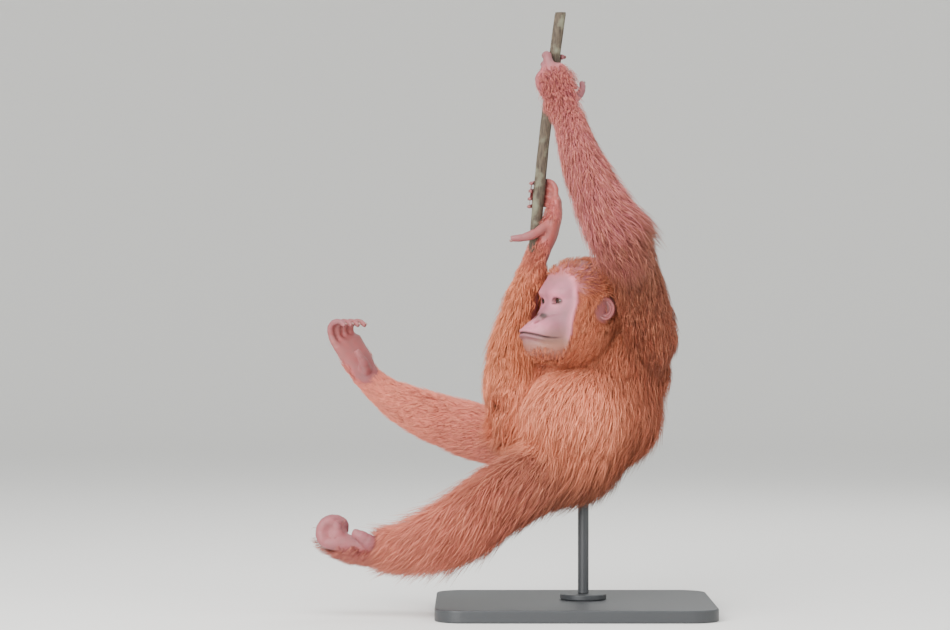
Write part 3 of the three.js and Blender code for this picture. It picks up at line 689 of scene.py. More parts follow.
def bareness(points, found):
    """1 on the bare skin of the face, ears, palms and digits, and 0 under the coat."""
    forward, left, up = head_places(points).T
    aside = np.abs(left)
    near_head = step(14 - np.abs(found["head"][0]), 2)
    on_face = step(forward - cheek_edge(up) + 3, 2.2) * step(46 - up, 4)
    on_face *= 1 - 0.33 * step(-57 - up, 3)
    crown = step(forward - 9, 3) * step(up - 14 - 0.1 * (46 - forward), 3)
    bare = np.maximum(on_face, 0.62 * crown) * near_head
    ear = step(20 - np.hypot(forward - EAR["forward"], up - EAR["up"]), 1)
    bare = np.maximum(bare, ear * step(aside - EAR["left"] + 4, 0.7) * near_head)
    for name, chains in DIGIT_CHAINS.items():
        hand = HANDS[name]
        close = np.nonzero(found[name][0] < 90)[0]
        near = np.min([chain.measure(points[close])[0] for chain in chains], axis=0)
        distance, out, _, _ = PALM_CHAINS[name].measure(points[close])
        digit = step(2.5 - near, 1) * step(distance - 2, 1)
        inner = 0.35 - 0.75 * step(8 - near, 2)
        palm = step(out @ unit(hand["up"]) - inner, 0.12) * step(5 - distance, 1)
        bare[close] = np.maximum(bare[close], np.maximum(digit, palm))
    return np.clip(bare, 0, 1)


def markings(points, found):
    """Fields from 0 to 1 that the coat and the skin share: glow, rose and dark. Glow on the trunk's
    front is partly painted light, and dark is partly painted shade.
    """
    weights = np.array([np.exp(-np.clip(found[name][0], -20, 60) / BLEND_PARTS)
                        for name in PARTS])
    weights /= weights.sum(axis=0)
    by_part = dict(zip(PARTS, weights))
    share = {name: found[name][2] for name in PARTS}
    # The trunk's front glows paler and more orange: partly its own paler belly hair, partly painted
    # light on its lit side
    front = step(((points - TRUNK_PLACE) @ TRUNK_TURN.T)[:, 0] - 14, 12)
    # Low on the trunk: painted shade under the belly, with less glow and more dark
    low = step(228 - points[:, 2], 12)
    # Painted shade on the back of the head, where the raised arm behind it shades it
    shaded_back_of_head = step(-head_places(points)[:, 0] - 2, 8)
    glow = by_part["torso"] * (0.05 + 0.95 * front) * (1 - 0.6 * low)
    glow += by_part["neck"] * 0.5 + by_part["upper_arm_right"]
    glow += by_part["forearm_right"] * 0.6 + by_part["thigh_left"] * 0.25
    glow += by_part["shin_left"] * 0.6 + by_part["head"] * 0.25
    glow += by_part["thigh_right"] * 0.5 + by_part["shin_right"] * 0.9
    rose = by_part["forearm_left"] * 0.95 + by_part["hand_left"] * 0.75
    rose += by_part["thigh_right"] * 0.45 + by_part["shin_right"] * 0.5
    rose += by_part["foot_right"] * 0.7 + by_part["foot_left"] * 0.6
    rose += by_part["shin_left"] * 0.4 + by_part["thigh_left"] * 0.25
    rose += by_part["torso"] * 0.2 * front + by_part["hand_right"] * 0.5
    rose += by_part["upper_arm_right"] * 0.25
    # Painted shade under the raised left arm, darkest towards its elbow
    dark = by_part["upper_arm_left"] * (0.5 + 0.5 * share["upper_arm_left"] ** 2)
    # Painted shade on the left thigh towards the hip, under the belly; the left foot's dark is
    # partly its darker hair and partly painted shade under the fist
    dark += by_part["foot_left"] * 0.45 + by_part["thigh_left"] * 0.65 * (1 - share["thigh_left"])
    # Painted shade low on the trunk under the belly, and on the back of the head
    dark += 0.6 * by_part["torso"] * low + (0.1 + 0.45 * shaded_back_of_head) * by_part["head"]
    # The trunk's back gets painted shade, on the flank turned from the light
    dark += 0.32 * by_part["torso"] * (1 - front) + 0.4 * by_part["forearm_left"]
    dark += 0.2 * by_part["hand_left"]
    return np.clip(np.column_stack((glow, rose, dark)), 0, 1), by_part


# Colours and finishes

def linear(colour):
    """sRGB hex to the linear values that the shaders take."""
    parts = [int(colour[i:i + 2], 16) / 255 for i in (1, 3, 5)]
    return [c / 12.92 if c <= 0.04045 else ((c + 0.055) / 1.055) ** 2.4 for c in parts] + [1.0]


def finish(name):
    material = bpy.data.materials.new(name)
    material.use_nodes = True
    tree = material.node_tree
    return material, tree, tree.nodes["Principled BSDF"]


def add(tree, kind, settings=(), sockets=(), links=()):
    """One node, with its settings, the values of its sockets and what is linked to them."""
    made = tree.nodes.new(kind)
    for name, value in dict(settings).items():
        setattr(made, name, value)
    for name, value in dict(sockets).items():
        made.inputs[name].default_value = value
    for name, source in dict(links).items():
        tree.links.new(source, made.inputs[name])
    return made


def mix(tree, share, first, second):
    """A colour mix. `share` is a link or a number, and the colours are links or values."""
    made = add(tree, "ShaderNodeMix", {"data_type": "RGBA"})
    for socket, value in ((0, share), (6, first), (7, second)):
        if hasattr(value, "links"):
            tree.links.new(value, made.inputs[socket])
        else:
            made.inputs[socket].default_value = value
    return made.outputs[2]


# COAT_GLOW also serves as painted light on the trunk's front, and COAT_DARK as painted shade
COAT_RUST = linear("#a24226")
COAT_GLOW = linear("#ff9a6c")
COAT_ROSE = linear("#da747e")
COAT_DARK = linear("#3a150e")


def coat_colour(tree):
    """Rust-red hair, paler and more orange on the belly, rosier on the sleek limbs; the glow and
    dark marks also carry painted light and painted shade.
    """
    marks = add(tree, "ShaderNodeAttribute", {"attribute_name": "marks"})
    parts = add(tree, "ShaderNodeSeparateColor", links={"Color": marks.outputs["Color"]})
    colour = mix(tree, parts.outputs[0], COAT_RUST, COAT_GLOW)
    colour = mix(tree, parts.outputs[1], colour, COAT_ROSE)
    return mix(tree, parts.outputs[2], colour, COAT_DARK), marks


def hair_finish():
    """Hair in tufts: satin, with painted shade darkening it towards its roots, every tuft a little
    different.
    """
    material, tree, shader = finish("orangutan_hair")
    colour, _ = coat_colour(tree)
    tuft = add(tree, "ShaderNodeAttribute", {"attribute_name": "tuft"})
    parts = add(tree, "ShaderNodeSeparateColor", links={"Color": tuft.outputs["Color"]})
    # Painted shade towards the roots of the tufts, with some locks darker at random
    colour = mix(tree, parts.outputs[0], colour, linear("#3a170d"))
    colour = mix(tree, parts.outputs[1], colour, linear("#ffa982"))
    tree.links.new(colour, shader.inputs["Base Color"])
    shader.inputs["Roughness"].default_value = 0.55
    shader.inputs["Specular IOR Level"].default_value = 0.35
    return material


SKIN_FACE = linear("#814f59")
SKIN_PALE = linear("#d67e92")
# The darkest skin colour is painted shade
SKIN_SHADE = linear("#38201f")
SKIN_DARK = linear("#7c5a58")
SKIN_FLUSH = linear("#a04e42")
SKIN_BEARD = linear("#8c6256")


def skin_finish():
    """Bare skin: matt and finely creased, mauve grey with paler lids and lips, painted shade in the
    nostrils, the mouth line, round the eyes and in the ears' hollows, and a painted highlight on the
    crown.
    """
    material, tree, shader = finish("orangutan_skin")
    under_coat, _ = coat_colour(tree)
    under_coat = mix(tree, 0.18, under_coat, linear("#3a2018"))
    marks = add(tree, "ShaderNodeAttribute", {"attribute_name": "bare"})
    parts = add(tree, "ShaderNodeSeparateColor", links={"Color": marks.outputs["Color"]})
    places = add(tree, "ShaderNodeTexCoord")
    mottle = add(tree, "ShaderNodeTexNoise", sockets={"Scale": 70, "Detail": 5},
                 links={"Vector": places.outputs["Object"]})
    tone = add(tree, "ShaderNodeAttribute", {"attribute_name": "tone"})
    tones = add(tree, "ShaderNodeSeparateColor", links={"Color": tone.outputs["Color"]})
    skin = mix(tree, parts.outputs[1], SKIN_FACE, SKIN_PALE)
    skin = mix(tree, tones.outputs[0], skin, SKIN_FLUSH)
    skin = mix(tree, tones.outputs[1], skin, SKIN_BEARD)
    # Painted shade: nostrils, mouth line, under the lower lip, round the eye openings and in the
    # ears' hollows
    skin = mix(tree, parts.outputs[2], skin, SKIN_SHADE)
    spots = add(tree, "ShaderNodeMapRange", sockets={"From Min": 0.45, "From Max": 0.75,
                                                     "To Min": 0, "To Max": 0.5},
                links={"Value": mottle.outputs["Fac"]})
    skin = mix(tree, spots.outputs["Result"], skin, SKIN_DARK)
    tree.links.new(mix(tree, parts.outputs[0], under_coat, skin), shader.inputs["Base Color"])
    # Creases about 1.6 mm apart, crossed by a finer grain
    creases = add(tree, "ShaderNodeTexVoronoi",
                  {"feature": "DISTANCE_TO_EDGE"}, {"Scale": 620},
                  {"Vector": places.outputs["Object"]})
    grain = add(tree, "ShaderNodeTexNoise", sockets={"Scale": 900, "Detail": 3},
                links={"Vector": places.outputs["Object"]})
    height = add(tree, "ShaderNodeMath", {"operation": "MULTIPLY_ADD"}, {1: 0.4},
                 {0: grain.outputs["Fac"], 2: creases.outputs["Distance"]})
    bump = add(tree, "ShaderNodeBump", sockets={"Strength": 0.35, "Distance": 0.0006},
               links={"Height": height.outputs[0]})
    tree.links.new(bump.outputs["Normal"], shader.inputs["Normal"])
    shader.inputs["Roughness"].default_value = 0.58
    shader.inputs["Subsurface Weight"].default_value = 0.12
    shader.inputs["Subsurface Radius"].default_value = (0.006, 0.003, 0.002)
    return material


def eye_finish():
    """A wet eye: brown-black, the white hardly shows, under a clear glossy coat."""
    material, tree, shader = finish("wet_eye")
    ring = add(tree, "ShaderNodeAttribute", {"attribute_name": "ring"})
    ramp = add(tree, "ShaderNodeValToRGB", links={"Fac": ring.outputs["Fac"]})
    stops = ramp.color_ramp.elements
    stops[0].position, stops[0].color = 0.0, linear("#050303")
    stops[1].position, stops[1].color = 1.0, linear("#4a2f26")
    for place, colour in ((0.2, "#060403"), (0.24, "#3b2012"), (0.5, "#2a150c"),
                          (0.56, "#120907"), (0.64, "#2a1712")):
        stop = stops.new(place)
        stop.color = linear(colour)
    tree.links.new(ramp.outputs["Color"], shader.inputs["Base Color"])
    shader.inputs["Roughness"].default_value = 0.2
    shader.inputs["Specular IOR Level"].default_value = 0.25
    shader.inputs["Coat Weight"].default_value = 0.35
    shader.inputs["Coat Roughness"].default_value = 0.04
    return material


def nail_finish():
    """Keratin: dark horn brown with a fine paler mottle, half gloss."""
    material, tree, shader = finish("keratin_nail")
    places = add(tree, "ShaderNodeTexCoord")
    lines = add(tree, "ShaderNodeTexNoise", sockets={"Scale": 500, "Detail": 2},
                links={"Vector": places.outputs["Object"]})
    colour = mix(tree, lines.outputs["Fac"], linear("#7d564f"), linear("#a07870"))
    tree.links.new(colour, shader.inputs["Base Color"])
    shader.inputs["Roughness"].default_value = 0.38
    return material


def bark_finish():
    """Smooth grey-brown bark: fine lengthwise cracks and pale lichen."""
    material, tree, shader = finish("thin_bark")
    places = add(tree, "ShaderNodeTexCoord")
    stretched = add(tree, "ShaderNodeMapping", sockets={"Scale": (1, 1, 0.16)},
                    links={"Vector": places.outputs["Object"]})
    cracks = add(tree, "ShaderNodeTexNoise", sockets={"Scale": 420, "Detail": 6, "Roughness": 0.65},
                 links={"Vector": stretched.outputs["Vector"]})
    patches = add(tree, "ShaderNodeTexNoise", sockets={"Scale": 45, "Detail": 4},
                  links={"Vector": places.outputs["Object"]})
    ramp = add(tree, "ShaderNodeValToRGB", links={"Fac": cracks.outputs["Fac"]})
    stops = ramp.color_ramp.elements
    stops[0].position, stops[0].color = 0.32, linear("#2e241d")
    stops[1].position, stops[1].color = 0.66, linear("#5f5242")
    lichen = add(tree, "ShaderNodeMapRange", sockets={"From Min": 0.55, "From Max": 0.68},
                 links={"Value": patches.outputs["Fac"]})
    colour = mix(tree, lichen.outputs["Result"], ramp.outputs["Color"], linear("#6f6e5a"))
    tree.links.new(colour, shader.inputs["Base Color"])
    bump = add(tree, "ShaderNodeBump", sockets={"Strength": 0.6, "Distance": 0.0012},
               links={"Height": cracks.outputs["Fac"]})
    tree.links.new(bump.outputs["Normal"], shader.inputs["Normal"])
    shader.inputs["Roughness"].default_value = 0.82
    return material


def powder_coat_finish():
    """Powder-coated steel: satin dark grey with the fine texture of the cured powder."""
    material, tree, shader = finish("powder_coated_steel")
    places = add(tree, "ShaderNodeTexCoord")
    powder = add(tree, "ShaderNodeTexNoise", sockets={"Scale": 1400, "Detail": 2},
                 links={"Vector": places.outputs["Object"]})
    colour = mix(tree, powder.outputs["Fac"], linear("#2f3133"), linear("#3c3e41"))
    tree.links.new(colour, shader.inputs["Base Color"])
    bump = add(tree, "ShaderNodeBump", sockets={"Strength": 0.25, "Distance": 0.0002},
               links={"Height": powder.outputs["Fac"]})
    tree.links.new(bump.outputs["Normal"], shader.inputs["Normal"])
    shader.inputs["Roughness"].default_value = 0.46
    return material


def paper_finish():
    """Seamless paper for the floor and the wall behind: matt and pale."""
    material, tree, shader = finish("seamless_paper")
    places = add(tree, "ShaderNodeTexCoord")
    fibre = add(tree, "ShaderNodeTexNoise", sockets={"Scale": 300, "Detail": 2},
                links={"Vector": places.outputs["Object"]})
    colour = mix(tree, fibre.outputs["Fac"], linear("#eae8e3"), linear("#f2f0ec"))
    tree.links.new(colour, shader.inputs["Base Color"])
    shader.inputs["Roughness"].default_value = 0.9
    return material


# Finished pieces

def piece(name, mesh, material, replaces=()):
    made = bpy.data.objects.new(name, mesh)
    bpy.context.collection.objects.link(made)
    mesh.materials.append(material)
    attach(made, "root")
    if replaces:
        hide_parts(*replaces)
    return made


def mesh_from(shape, name, smooth=True):
    """A bmesh in millimetres becomes a mesh in metres."""
    bmesh.ops.scale(shape, vec=(MM, MM, MM), verts=shape.verts)
    mesh = bpy.data.meshes.new(name)
    shape.to_mesh(mesh)
    shape.free()
    mesh.polygons.foreach_set("use_smooth", [smooth] * len(mesh.polygons))
    return mesh


def keep_field(mesh, name, values):
    """A colour attribute on the mesh's points, from three columns."""
    field = mesh.color_attributes.new(name, "FLOAT_COLOR", "POINT")
    filled = np.ones((len(mesh.vertices), 4), np.float32)
    filled[:, :values.shape[1]] = values
    field.data.foreach_set("color", filled.ravel())


def unwrap_places(points, found):
    """Which strip of the unwrap, one upright strip for each part, each point of the skin falls on:
    that of the part it is nearest.
    """
    distances = np.array([found[name][0] for name in PARTS])
    nearest = np.argmin(distances, axis=0)
    return nearest


def chart_places(points, part):
    """Angle round the part and share along it, both from 0 to 1."""
    name = PARTS[part]
    if name == "head":
        local = head_places(points)
        angle = np.arctan2(local[:, 1], local[:, 0])
        share = (local[:, 2] + 90) / 180
    elif name == "torso":
        local = (points - TRUNK_PLACE) @ TRUNK_TURN.T
        angle = np.arctan2(local[:, 1], local[:, 0])
        share = (local[:, 2] + 130) / 270
    else:
        chain = LIMB_CHAINS.get(name) or PALM_CHAINS[name]
        _, out, heading, share = chain.measure(points)
        side = unit(np.cross(heading, chain.across))
        angle = np.arctan2(np.einsum("ij,ij->i", out, np.cross(side, heading)),
                           np.einsum("ij,ij->i", out, side))
        reach = np.einsum("ij,ij->i", points - chain.places[0], heading) / 400
        share = 0.1 + 0.5 * share + 0.3 * reach
    return angle / (2 * math.pi) + 0.5, np.clip(share, 0, 1)


CHARTS_ACROSS = 4


def chart_corner(part):
    return (part % CHARTS_ACROSS) / CHARTS_ACROSS, (part // CHARTS_ACROSS) / CHARTS_ACROSS


def unwrap_skin(mesh, found):
    """OFBake: each face lies on the strip of the part nearest its middle."""
    points = np.empty(len(mesh.vertices) * 3, np.float32)
    mesh.vertices.foreach_get("co", points)
    points = points.reshape(-1, 3) / MM
    nearest = unwrap_places(points, found)
    loop_vertex = np.empty(len(mesh.loops), np.int32)
    mesh.loops.foreach_get("vertex_index", loop_vertex)
    starts = np.empty(len(mesh.polygons), np.int32)
    mesh.polygons.foreach_get("loop_start", starts)
    totals = np.empty(len(mesh.polygons), np.int32)
    mesh.polygons.foreach_get("loop_total", totals)
    loop_face = np.repeat(np.arange(len(starts)), totals)
    face_part = nearest[loop_vertex[starts]]
    u = np.zeros(len(loop_vertex))
    v = np.zeros(len(loop_vertex))
    for part in range(len(PARTS)):
        loops = np.nonzero(face_part[loop_face] == part)[0]
        if not len(loops):
            continue
        across, along = chart_places(points[loop_vertex[loops]], part)
        first = across[np.searchsorted(loops, starts[loop_face[loops]])]
        across = across - np.round(across - first)
        left, bottom = chart_corner(part)
        u[loops] = left + (0.06 + 0.88 * np.clip(across, -0.05, 1.05)) / CHARTS_ACROSS
        v[loops] = bottom + (0.04 + 0.92 * along) / CHARTS_ACROSS
    layer = mesh.uv_layers.new(name="OFBake")
    layer.data.foreach_set("uv", np.column_stack((u, v)).astype(np.float32).ravel())


FLESH = [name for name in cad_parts
         if not name.startswith(("stand_", "stem", "eye_"))]


def skin_piece(material):
    whole = bmesh.new()
    zones = [body_skin(), head_skin(), ear_skin(1), ear_skin(-1)]
    zones += [hand_skin(name) for name in HANDS]
    for zone in zones:
        part = bpy.data.meshes.new("zone")
        zone.to_mesh(part)
        zone.free()
        whole.from_mesh(part)
        bpy.data.meshes.remove(part)
    points = places_of(whole)
    found = measure_parts(points)
    bare = bareness(points, found)
    marks, by_part = markings(points, found)
    forward, left, up = head_places(points).T
    aside = np.abs(left)
    near_head = step(14 - np.abs(found["head"][0]), 2)
    pale = 0.9 * hump(aside - 18, 14) * hump(up - 6, 14) * step(forward - 40, 3)
    pale += 0.9 * hump(up + 30, 12) * step(forward - 84, 6)
    pale += 0.8 * hump(forward - cheek_edge(up), 4) * step(aside - 16, 3)
    # Painted highlight: the skin on the crown is paler where light falls on top of the head
    pale += 0.35 * step(up - 20, 6)
    pale = np.clip(pale, 0, 1) * near_head + 0.1 * by_part["foot_left"]
    flush = 0.6 * by_part["foot_right"] + 0.85 * by_part["hand_right"]
    flush += 0.35 * by_part["foot_left"] + 0.3 * by_part["hand_left"]
    flush += 0.45 * near_head * step(aside - EAR["left"] + 2, 1)
    beard = 0.85 * near_head * step(-50 - up, 3) * step(aside - 8 + forward - 60, 6)
    beard += 0.5 * near_head * hump(aside - 31, 8) * step(-up - 34, 4)
    # Painted shade along the mouth line and under the lower lip, inside the nostrils, round the eye
    # openings and in the ear's hollow
    line = up - mouth_height(left)
    lips = 1.3 * hump(line, 1.6) + 0.35 * hump(line + 5, 3)
    lips *= step(forward - 70, 3) * step(MOUTH["half"] + 2 - aside, 1.5)
    hole = hump((aside - 8.8) / 5.4, 1) * hump((up + 15.5 + 0.3 * (aside - 6)) / 3.2, 1)
    lid = step(eye_opening(aside - EYE_PLACE[1], up - EYE_PLACE[2]) + 2, 0.6)
    lid *= step(forward - 45, 2)
    lid *= step(8.7 - np.abs(aside - EYE_PLACE[1]), 0.4)
    on_ear = step(aside - EAR["left"] - 1, 1)
    hollow = on_ear * step(2.2 - ear_depth(forward, aside), 0.6)
    painted_shade = lips + 2.2 * hole * step(forward - 72, 2) + 0.95 * lid + 0.9 * hollow
    painted_shade = np.clip(painted_shade, 0, 1) * near_head
    mesh = mesh_from(whole, "skin")
    keep_field(mesh, "bare", np.column_stack((bare, pale, painted_shade)))
    keep_field(mesh, "tone", np.column_stack((flush, beard, np.zeros(len(points)))))
    keep_field(mesh, "marks", marks)
    unwrap_skin(mesh, found)
    return piece("skin", mesh, material, FLESH)


# The coat

SEED = 20
RINGS = 2
TUFT_WIDTH = np.array((0.85, 1.0))
TUFT_RISE = np.array((0.7, 1.0))
ROOT_SUNK = 2.0
CLUMP = 17  # tufts that draw together into one lock


def tuft_roots(skin, random):
    """Places on the skin, denser where the coat is, with the way out at each."""
    mesh = skin.data
    mesh.calc_loop_triangles()
    count = len(mesh.loop_triangles)
    corners = np.empty(count * 3, np.int32)
    mesh.loop_triangles.foreach_get("vertices", corners)
    corners = corners.reshape(-1, 3)
    points = np.empty(len(mesh.vertices) * 3, np.float32)
    mesh.vertices.foreach_get("co", points)
    points = points.reshape(-1, 3).astype(float) / MM
    triangles = points[corners]
    middles = triangles.mean(axis=1)
    crossed = np.cross(triangles[:, 1] - triangles[:, 0], triangles[:, 2] - triangles[:, 0])
    area = np.linalg.norm(crossed, axis=1) / 2
    found = measure_parts(middles)
    _, by_part = markings(middles, found)
    density = sum(by_part[name] * COATS[name][0] for name in PARTS) / 100
    density *= np.clip(1.25 * (1 - bareness(middles, found)) - 0.2, 0, 1)
    buried = np.zeros(count, bool)
    for name in PARTS:
        buried |= found[name][0] < -9
    expected = area * density * ~buried
    number = np.floor(expected + random.random(count)).astype(int)
    owner = np.repeat(np.arange(count), number)
    a, b = random.random((2, len(owner)))
    swap = a + b > 1
    a[swap], b[swap] = 1 - a[swap], 1 - b[swap]
    chosen = triangles[owner]
    roots = chosen[:, 0] + a[:, None] * (chosen[:, 1] - chosen[:, 0])
    roots += b[:, None] * (chosen[:, 2] - chosen[:, 0])
    tree = BVHTree.FromPolygons([tuple(p) for p in points], [tuple(c) for c in corners])
    return roots, unit(crossed[owner]), tree


FRINGE_PLACE = at(66, -128, 554)
FRINGE_LIE = at(1.6, -0.1, 0.45)


def elbow_fringe(points, by_part):
    """How much of the long fringe that stands out from the raised elbow."""
    on_arm = by_part["forearm_left"] + by_part["upper_arm_left"]
    return on_arm * hump(np.linalg.norm(points - FRINGE_PLACE, axis=1), 40)


def hair_heading(points, found, by_part):
    heading = np.zeros_like(points)
    for name in PARTS:
        towards, droop = COATS[name][3:5]
        lie = unit(found[name][1] * towards - droop * UP)
        heading += lie * by_part[name][:, None]
    return unit(heading + elbow_fringe(points, by_part)[:, None] * FRINGE_LIE)


def nearest_skin(tree, points):
    places = np.empty_like(points)
    outs = np.empty_like(points)
    for i, point in enumerate(points):
        place, out, _, _ = tree.find_nearest(point)
        places[i] = place
        outs[i] = out
    return places, outs


def grow_coat(skin, random):
    roots, outs, tree = tuft_roots(skin, random)
    count = len(roots)
    found = measure_parts(roots)
    marks, by_part = markings(roots, found)
    length = sum(by_part[name] * COATS[name][1] for name in PARTS)
    width = sum(by_part[name] * COATS[name][2] for name in PARTS)
    hang = sum(by_part[name] * COATS[name][5] for name in PARTS)
    depth = sum(by_part[name] * coat_depth(name, found[name][2]) for name in PARTS)
    tight = by_part["upper_arm_left"] * found["upper_arm_left"][2] ** 1.5
    depth = np.minimum(depth, 28) * (1 - 0.8 * tight)
    length = length * (0.7 + 0.5 * random.random(count)) * (0.55 + np.minimum(depth, 26) / 35)
    forward, left, up = head_places(roots).T
    length *= 1 - 0.5 * by_part["head"] * np.maximum(step(forward - 45, 5), step(up - 24, 4))
    fringe = elbow_fringe(roots, by_part)
    by_ear = np.hypot(forward - EAR["forward"], up - EAR["up"]) < 26
    length[by_ear & (np.abs(left) > 34)] *= 0.5
    layer = 0.3 + 0.75 * random.random(count)
    short = by_part["head"] + sum(by_part[name] for name in HANDS)
    stray = (random.random(count) < 0.07) & (short < 0.3)
    length[stray] *= 1.45
    layer[stray] = 1.35
    owners = np.argmax([by_part[name] for name in PARTS], axis=0)
    path = [roots - outs * ROOT_SUNK]
    point = roots.copy()
    out = outs
    wander = 0.16 * random.standard_normal((count, 3))
    for ring in range(RINGS):
        found_here = found if ring == 0 else measure_parts(point)
        weights = by_part if ring == 0 else markings(point, found_here)[1]
        lie = hair_heading(point, found_here, weights) + wander
        inwards = np.einsum("ij,ij->i", lie, out)
        lie = unit(lie - out * (inwards * np.where(inwards < 0, 1, 0.4))[:, None])
        point = point + lie * (length / RINGS)[:, None]
        place, out = nearest_skin(tree, point)
        level = np.einsum("ij,ij->i", point - place, out)
        low = depth * layer * TUFT_RISE[ring]
        loose = hang * np.maximum(0, -out[:, 2]) * depth * 0.8 + 30 * fringe
        loose *= (ring + 1) / RINGS
        level = np.clip(level, low, low + loose)
        point = place + out * level[:, None]
        path.append(point)
    path, leader = draw_together(np.array(path), random)
    return path, outs, width, marks, owners, roots, leader


def draw_together(path, random):
    """Tufts lean towards the middle one of their lock, more and more to the tip."""
    roots = path[0]
    count = len(roots)
    chosen = random.permutation(count)[:count // CLUMP]
    tree = KDTree(len(chosen))
    for i, k in enumerate(chosen):
        tree.insert(roots[k], i)
    tree.balance()
    leader = chosen[[tree.find(root)[1] for root in roots]]
    near = np.linalg.norm(roots - roots[leader], axis=1)
    pull = 0.85 * random.random(count) * (near < 14)
    for ring in range(1, len(path)):
        share = (pull * (ring / RINGS) ** 1.3)[:, None]
        path[ring] += (path[ring][leader] - path[ring]) * share
    return path, leader


def tuft_shapes(path, outs, width):
    """Every tuft's corners: a flat three-sided blade that narrows to its tip."""
    along = unit(path[-1] - path[0])
    side = unit(np.cross(along, outs))
    crest = np.cross(side, along)
    corners = []
    for ring in range(RINGS):
        half = (width * TUFT_WIDTH[ring])[:, None]
        place = path[ring]
        corners += [place - side * half, place + side * half, place + crest * half * 0.7]
    corners.append(path[-1])
    return np.stack(corners, axis=1)


def tuft_triangles():
    triangles = []
    for ring in range(RINGS - 1):
        low, high = 3 * ring, 3 * ring + 3
        for k in range(3):
            n = (k + 1) % 3
            triangles += [(low + k, low + n, high + n), (low + k, high + n, high + k)]
    top, tip = 3 * (RINGS - 1), 3 * RINGS
    triangles += [(top + k, top + (k + 1) % 3, tip) for k in range(3)]
    triangles.append((2, 1, 0))
    return np.array(triangles)


BAKE_PATCH = 0.003


def coat_piece(name, corners, marks, tuft, roots, part, material):
    """One joined mesh of tufts, each with its marks and its patch of the bake's unwrap."""
    count, points = corners.shape[:2]
    triangles = tuft_triangles()
    faces = (triangles[None] + (np.arange(count) * points)[:, None, None]).reshape(-1, 3)
    mesh = bpy.data.meshes.new(name)
    mesh.vertices.add(count * points)
    mesh.vertices.foreach_set("co", (corners * MM).astype(np.float32).ravel())
    mesh.loops.add(faces.size)
    mesh.loops.foreach_set("vertex_index", faces.astype(np.int32).ravel())
    mesh.polygons.add(len(faces))
    mesh.polygons.foreach_set("loop_start", np.arange(0, faces.size, 3, dtype=np.int32))
    mesh.polygons.foreach_set("use_smooth", np.ones(len(faces), bool))
    mesh.update(calc_edges=True)
    keep_field(mesh, "marks", np.repeat(marks, points, axis=0))
    rise = np.append(np.repeat((0, 0.55), 3), 1.0)
    # Painted shade: each tuft darker towards its root, deep in the coat, plus a random darker tone
    # for its lock
    root_shade_and_tone = np.clip(0.6 - 1.6 * rise, 0, 1)[None] + tuft[:, 0:1]
    pale = np.clip(rise - 0.3, 0, 1)[None] * 0.5 * tuft[:, 1:2] + 0.3 * tuft[:, 2:3]
    fields = np.stack((np.clip(root_shade_and_tone, 0, 0.85), np.clip(pale, 0, 1),
                       np.zeros((count, points))), axis=2)
    keep_field(mesh, "tuft", fields.reshape(-1, 3))
    across, share = chart_places(roots, part)
    left, bottom = chart_corner(part)
    centre = np.column_stack((left + (0.06 + 0.88 * across) / CHARTS_ACROSS,
                              bottom + (0.04 + 0.92 * share) / CHARTS_ACROSS))
    sideways = np.append(np.tile((-0.5, 0.5, 0.0), RINGS), 0.0)
    spread = np.column_stack((sideways, rise - 0.5)) * BAKE_PATCH
    uv = (centre[:, None] + spread[None]).reshape(-1, 2)
    layer = mesh.uv_layers.new(name="OFBake")
    layer.data.foreach_set("uv", uv[faces.ravel()].astype(np.float32).ravel())
    return piece(name, mesh, material)


COAT_LIMIT = 19000  # tufts in one piece


def coat_pieces(skin, material):
    random = np.random.default_rng(SEED)
    path, outs, width, marks, owners, roots, leader = grow_coat(skin, random)
    count = len(roots)
    corners = tuft_shapes(path, outs, width)
    dark = 0.2 * random.random(count)[leader] + 0.15 * random.random(count) ** 3
    tuft = np.column_stack((dark, 0.5 * (random.random(count) + random.random(count)[leader]),
                            random.random(count) ** 3))
    for part, part_name in enumerate(PARTS):
        mine = np.nonzero(owners == part)[0]
        pieces = math.ceil(len(mine) / COAT_LIMIT)
        for k in range(pieces):
            some = mine[k::pieces]
            label = f"coat_{part_name}" + (f"_{k + 1}" if pieces > 1 else "")
            coat_piece(label, corners[some], marks[some], tuft[some], roots[some], part, material)
    print("tufts", count)


# Eyes and nails

def eye_piece(name, sign, material):
    eye = bmesh.new()
    bmesh.ops.create_uvsphere(eye, u_segments=48, v_segments=32, radius=EYE_RADIUS - 0.15)
    bmesh.ops.rotate(eye, verts=eye.verts, matrix=Matrix.Rotation(math.radians(90), 3, "Y"))
    places = places_of(eye)
    off_axis = np.hypot(places[:, 1], places[:, 2])
    places[:, 0] += 0.9 * hump(off_axis, 4.2) * (places[:, 0] > 0)
    ring = np.where(places[:, 0] > 0, off_axis / 11, 1)
    move_to(eye, on_head(places + EYE_PLACE * at(1, sign, 1)))
    mesh = mesh_from(eye, name)
    values = mesh.attributes.new("ring", "FLOAT", "POINT")
    values.data.foreach_set("value", ring.astype(np.float32))
    return piece(name, mesh, material, [name])


def nail_piece(material):
    """A small domed plate set in the back of every fingertip and toe tip."""
    nails = bmesh.new()
    for hand in HANDS.values():
        for stations in digit_stations(hand)[:4 if "thumb_nail" in hand else 5]:
            (tip, half, _), before, third = stations[-1], stations[-2][0], stations[-3][0]
            along = unit(tip - before)
            inwards = third - before
            out = along * (inwards @ along) - inwards
            if np.linalg.norm(out) < 1:
                out = along * (unit(hand["up"]) @ along) - hand["up"]
            out = unit(out)
            side = np.cross(out, along)
            grown = bmesh.ops.create_uvsphere(nails, u_segments=16, v_segments=10, radius=1)
            for vertex in grown["verts"]:
                x, y, z = vertex.co
                place = tip + along * half * (0.45 * y - 0.1) + side * x * half * 0.48
                vertex.co = place + out * (half * (0.93 - 0.2 * x * x - 0.18 * max(y, 0)) + 0.3 * z)
    bmesh.ops.recalc_face_normals(nails, faces=nails.faces)
    return piece("nails", mesh_from(nails, "nails"), material)


# Stem and stand

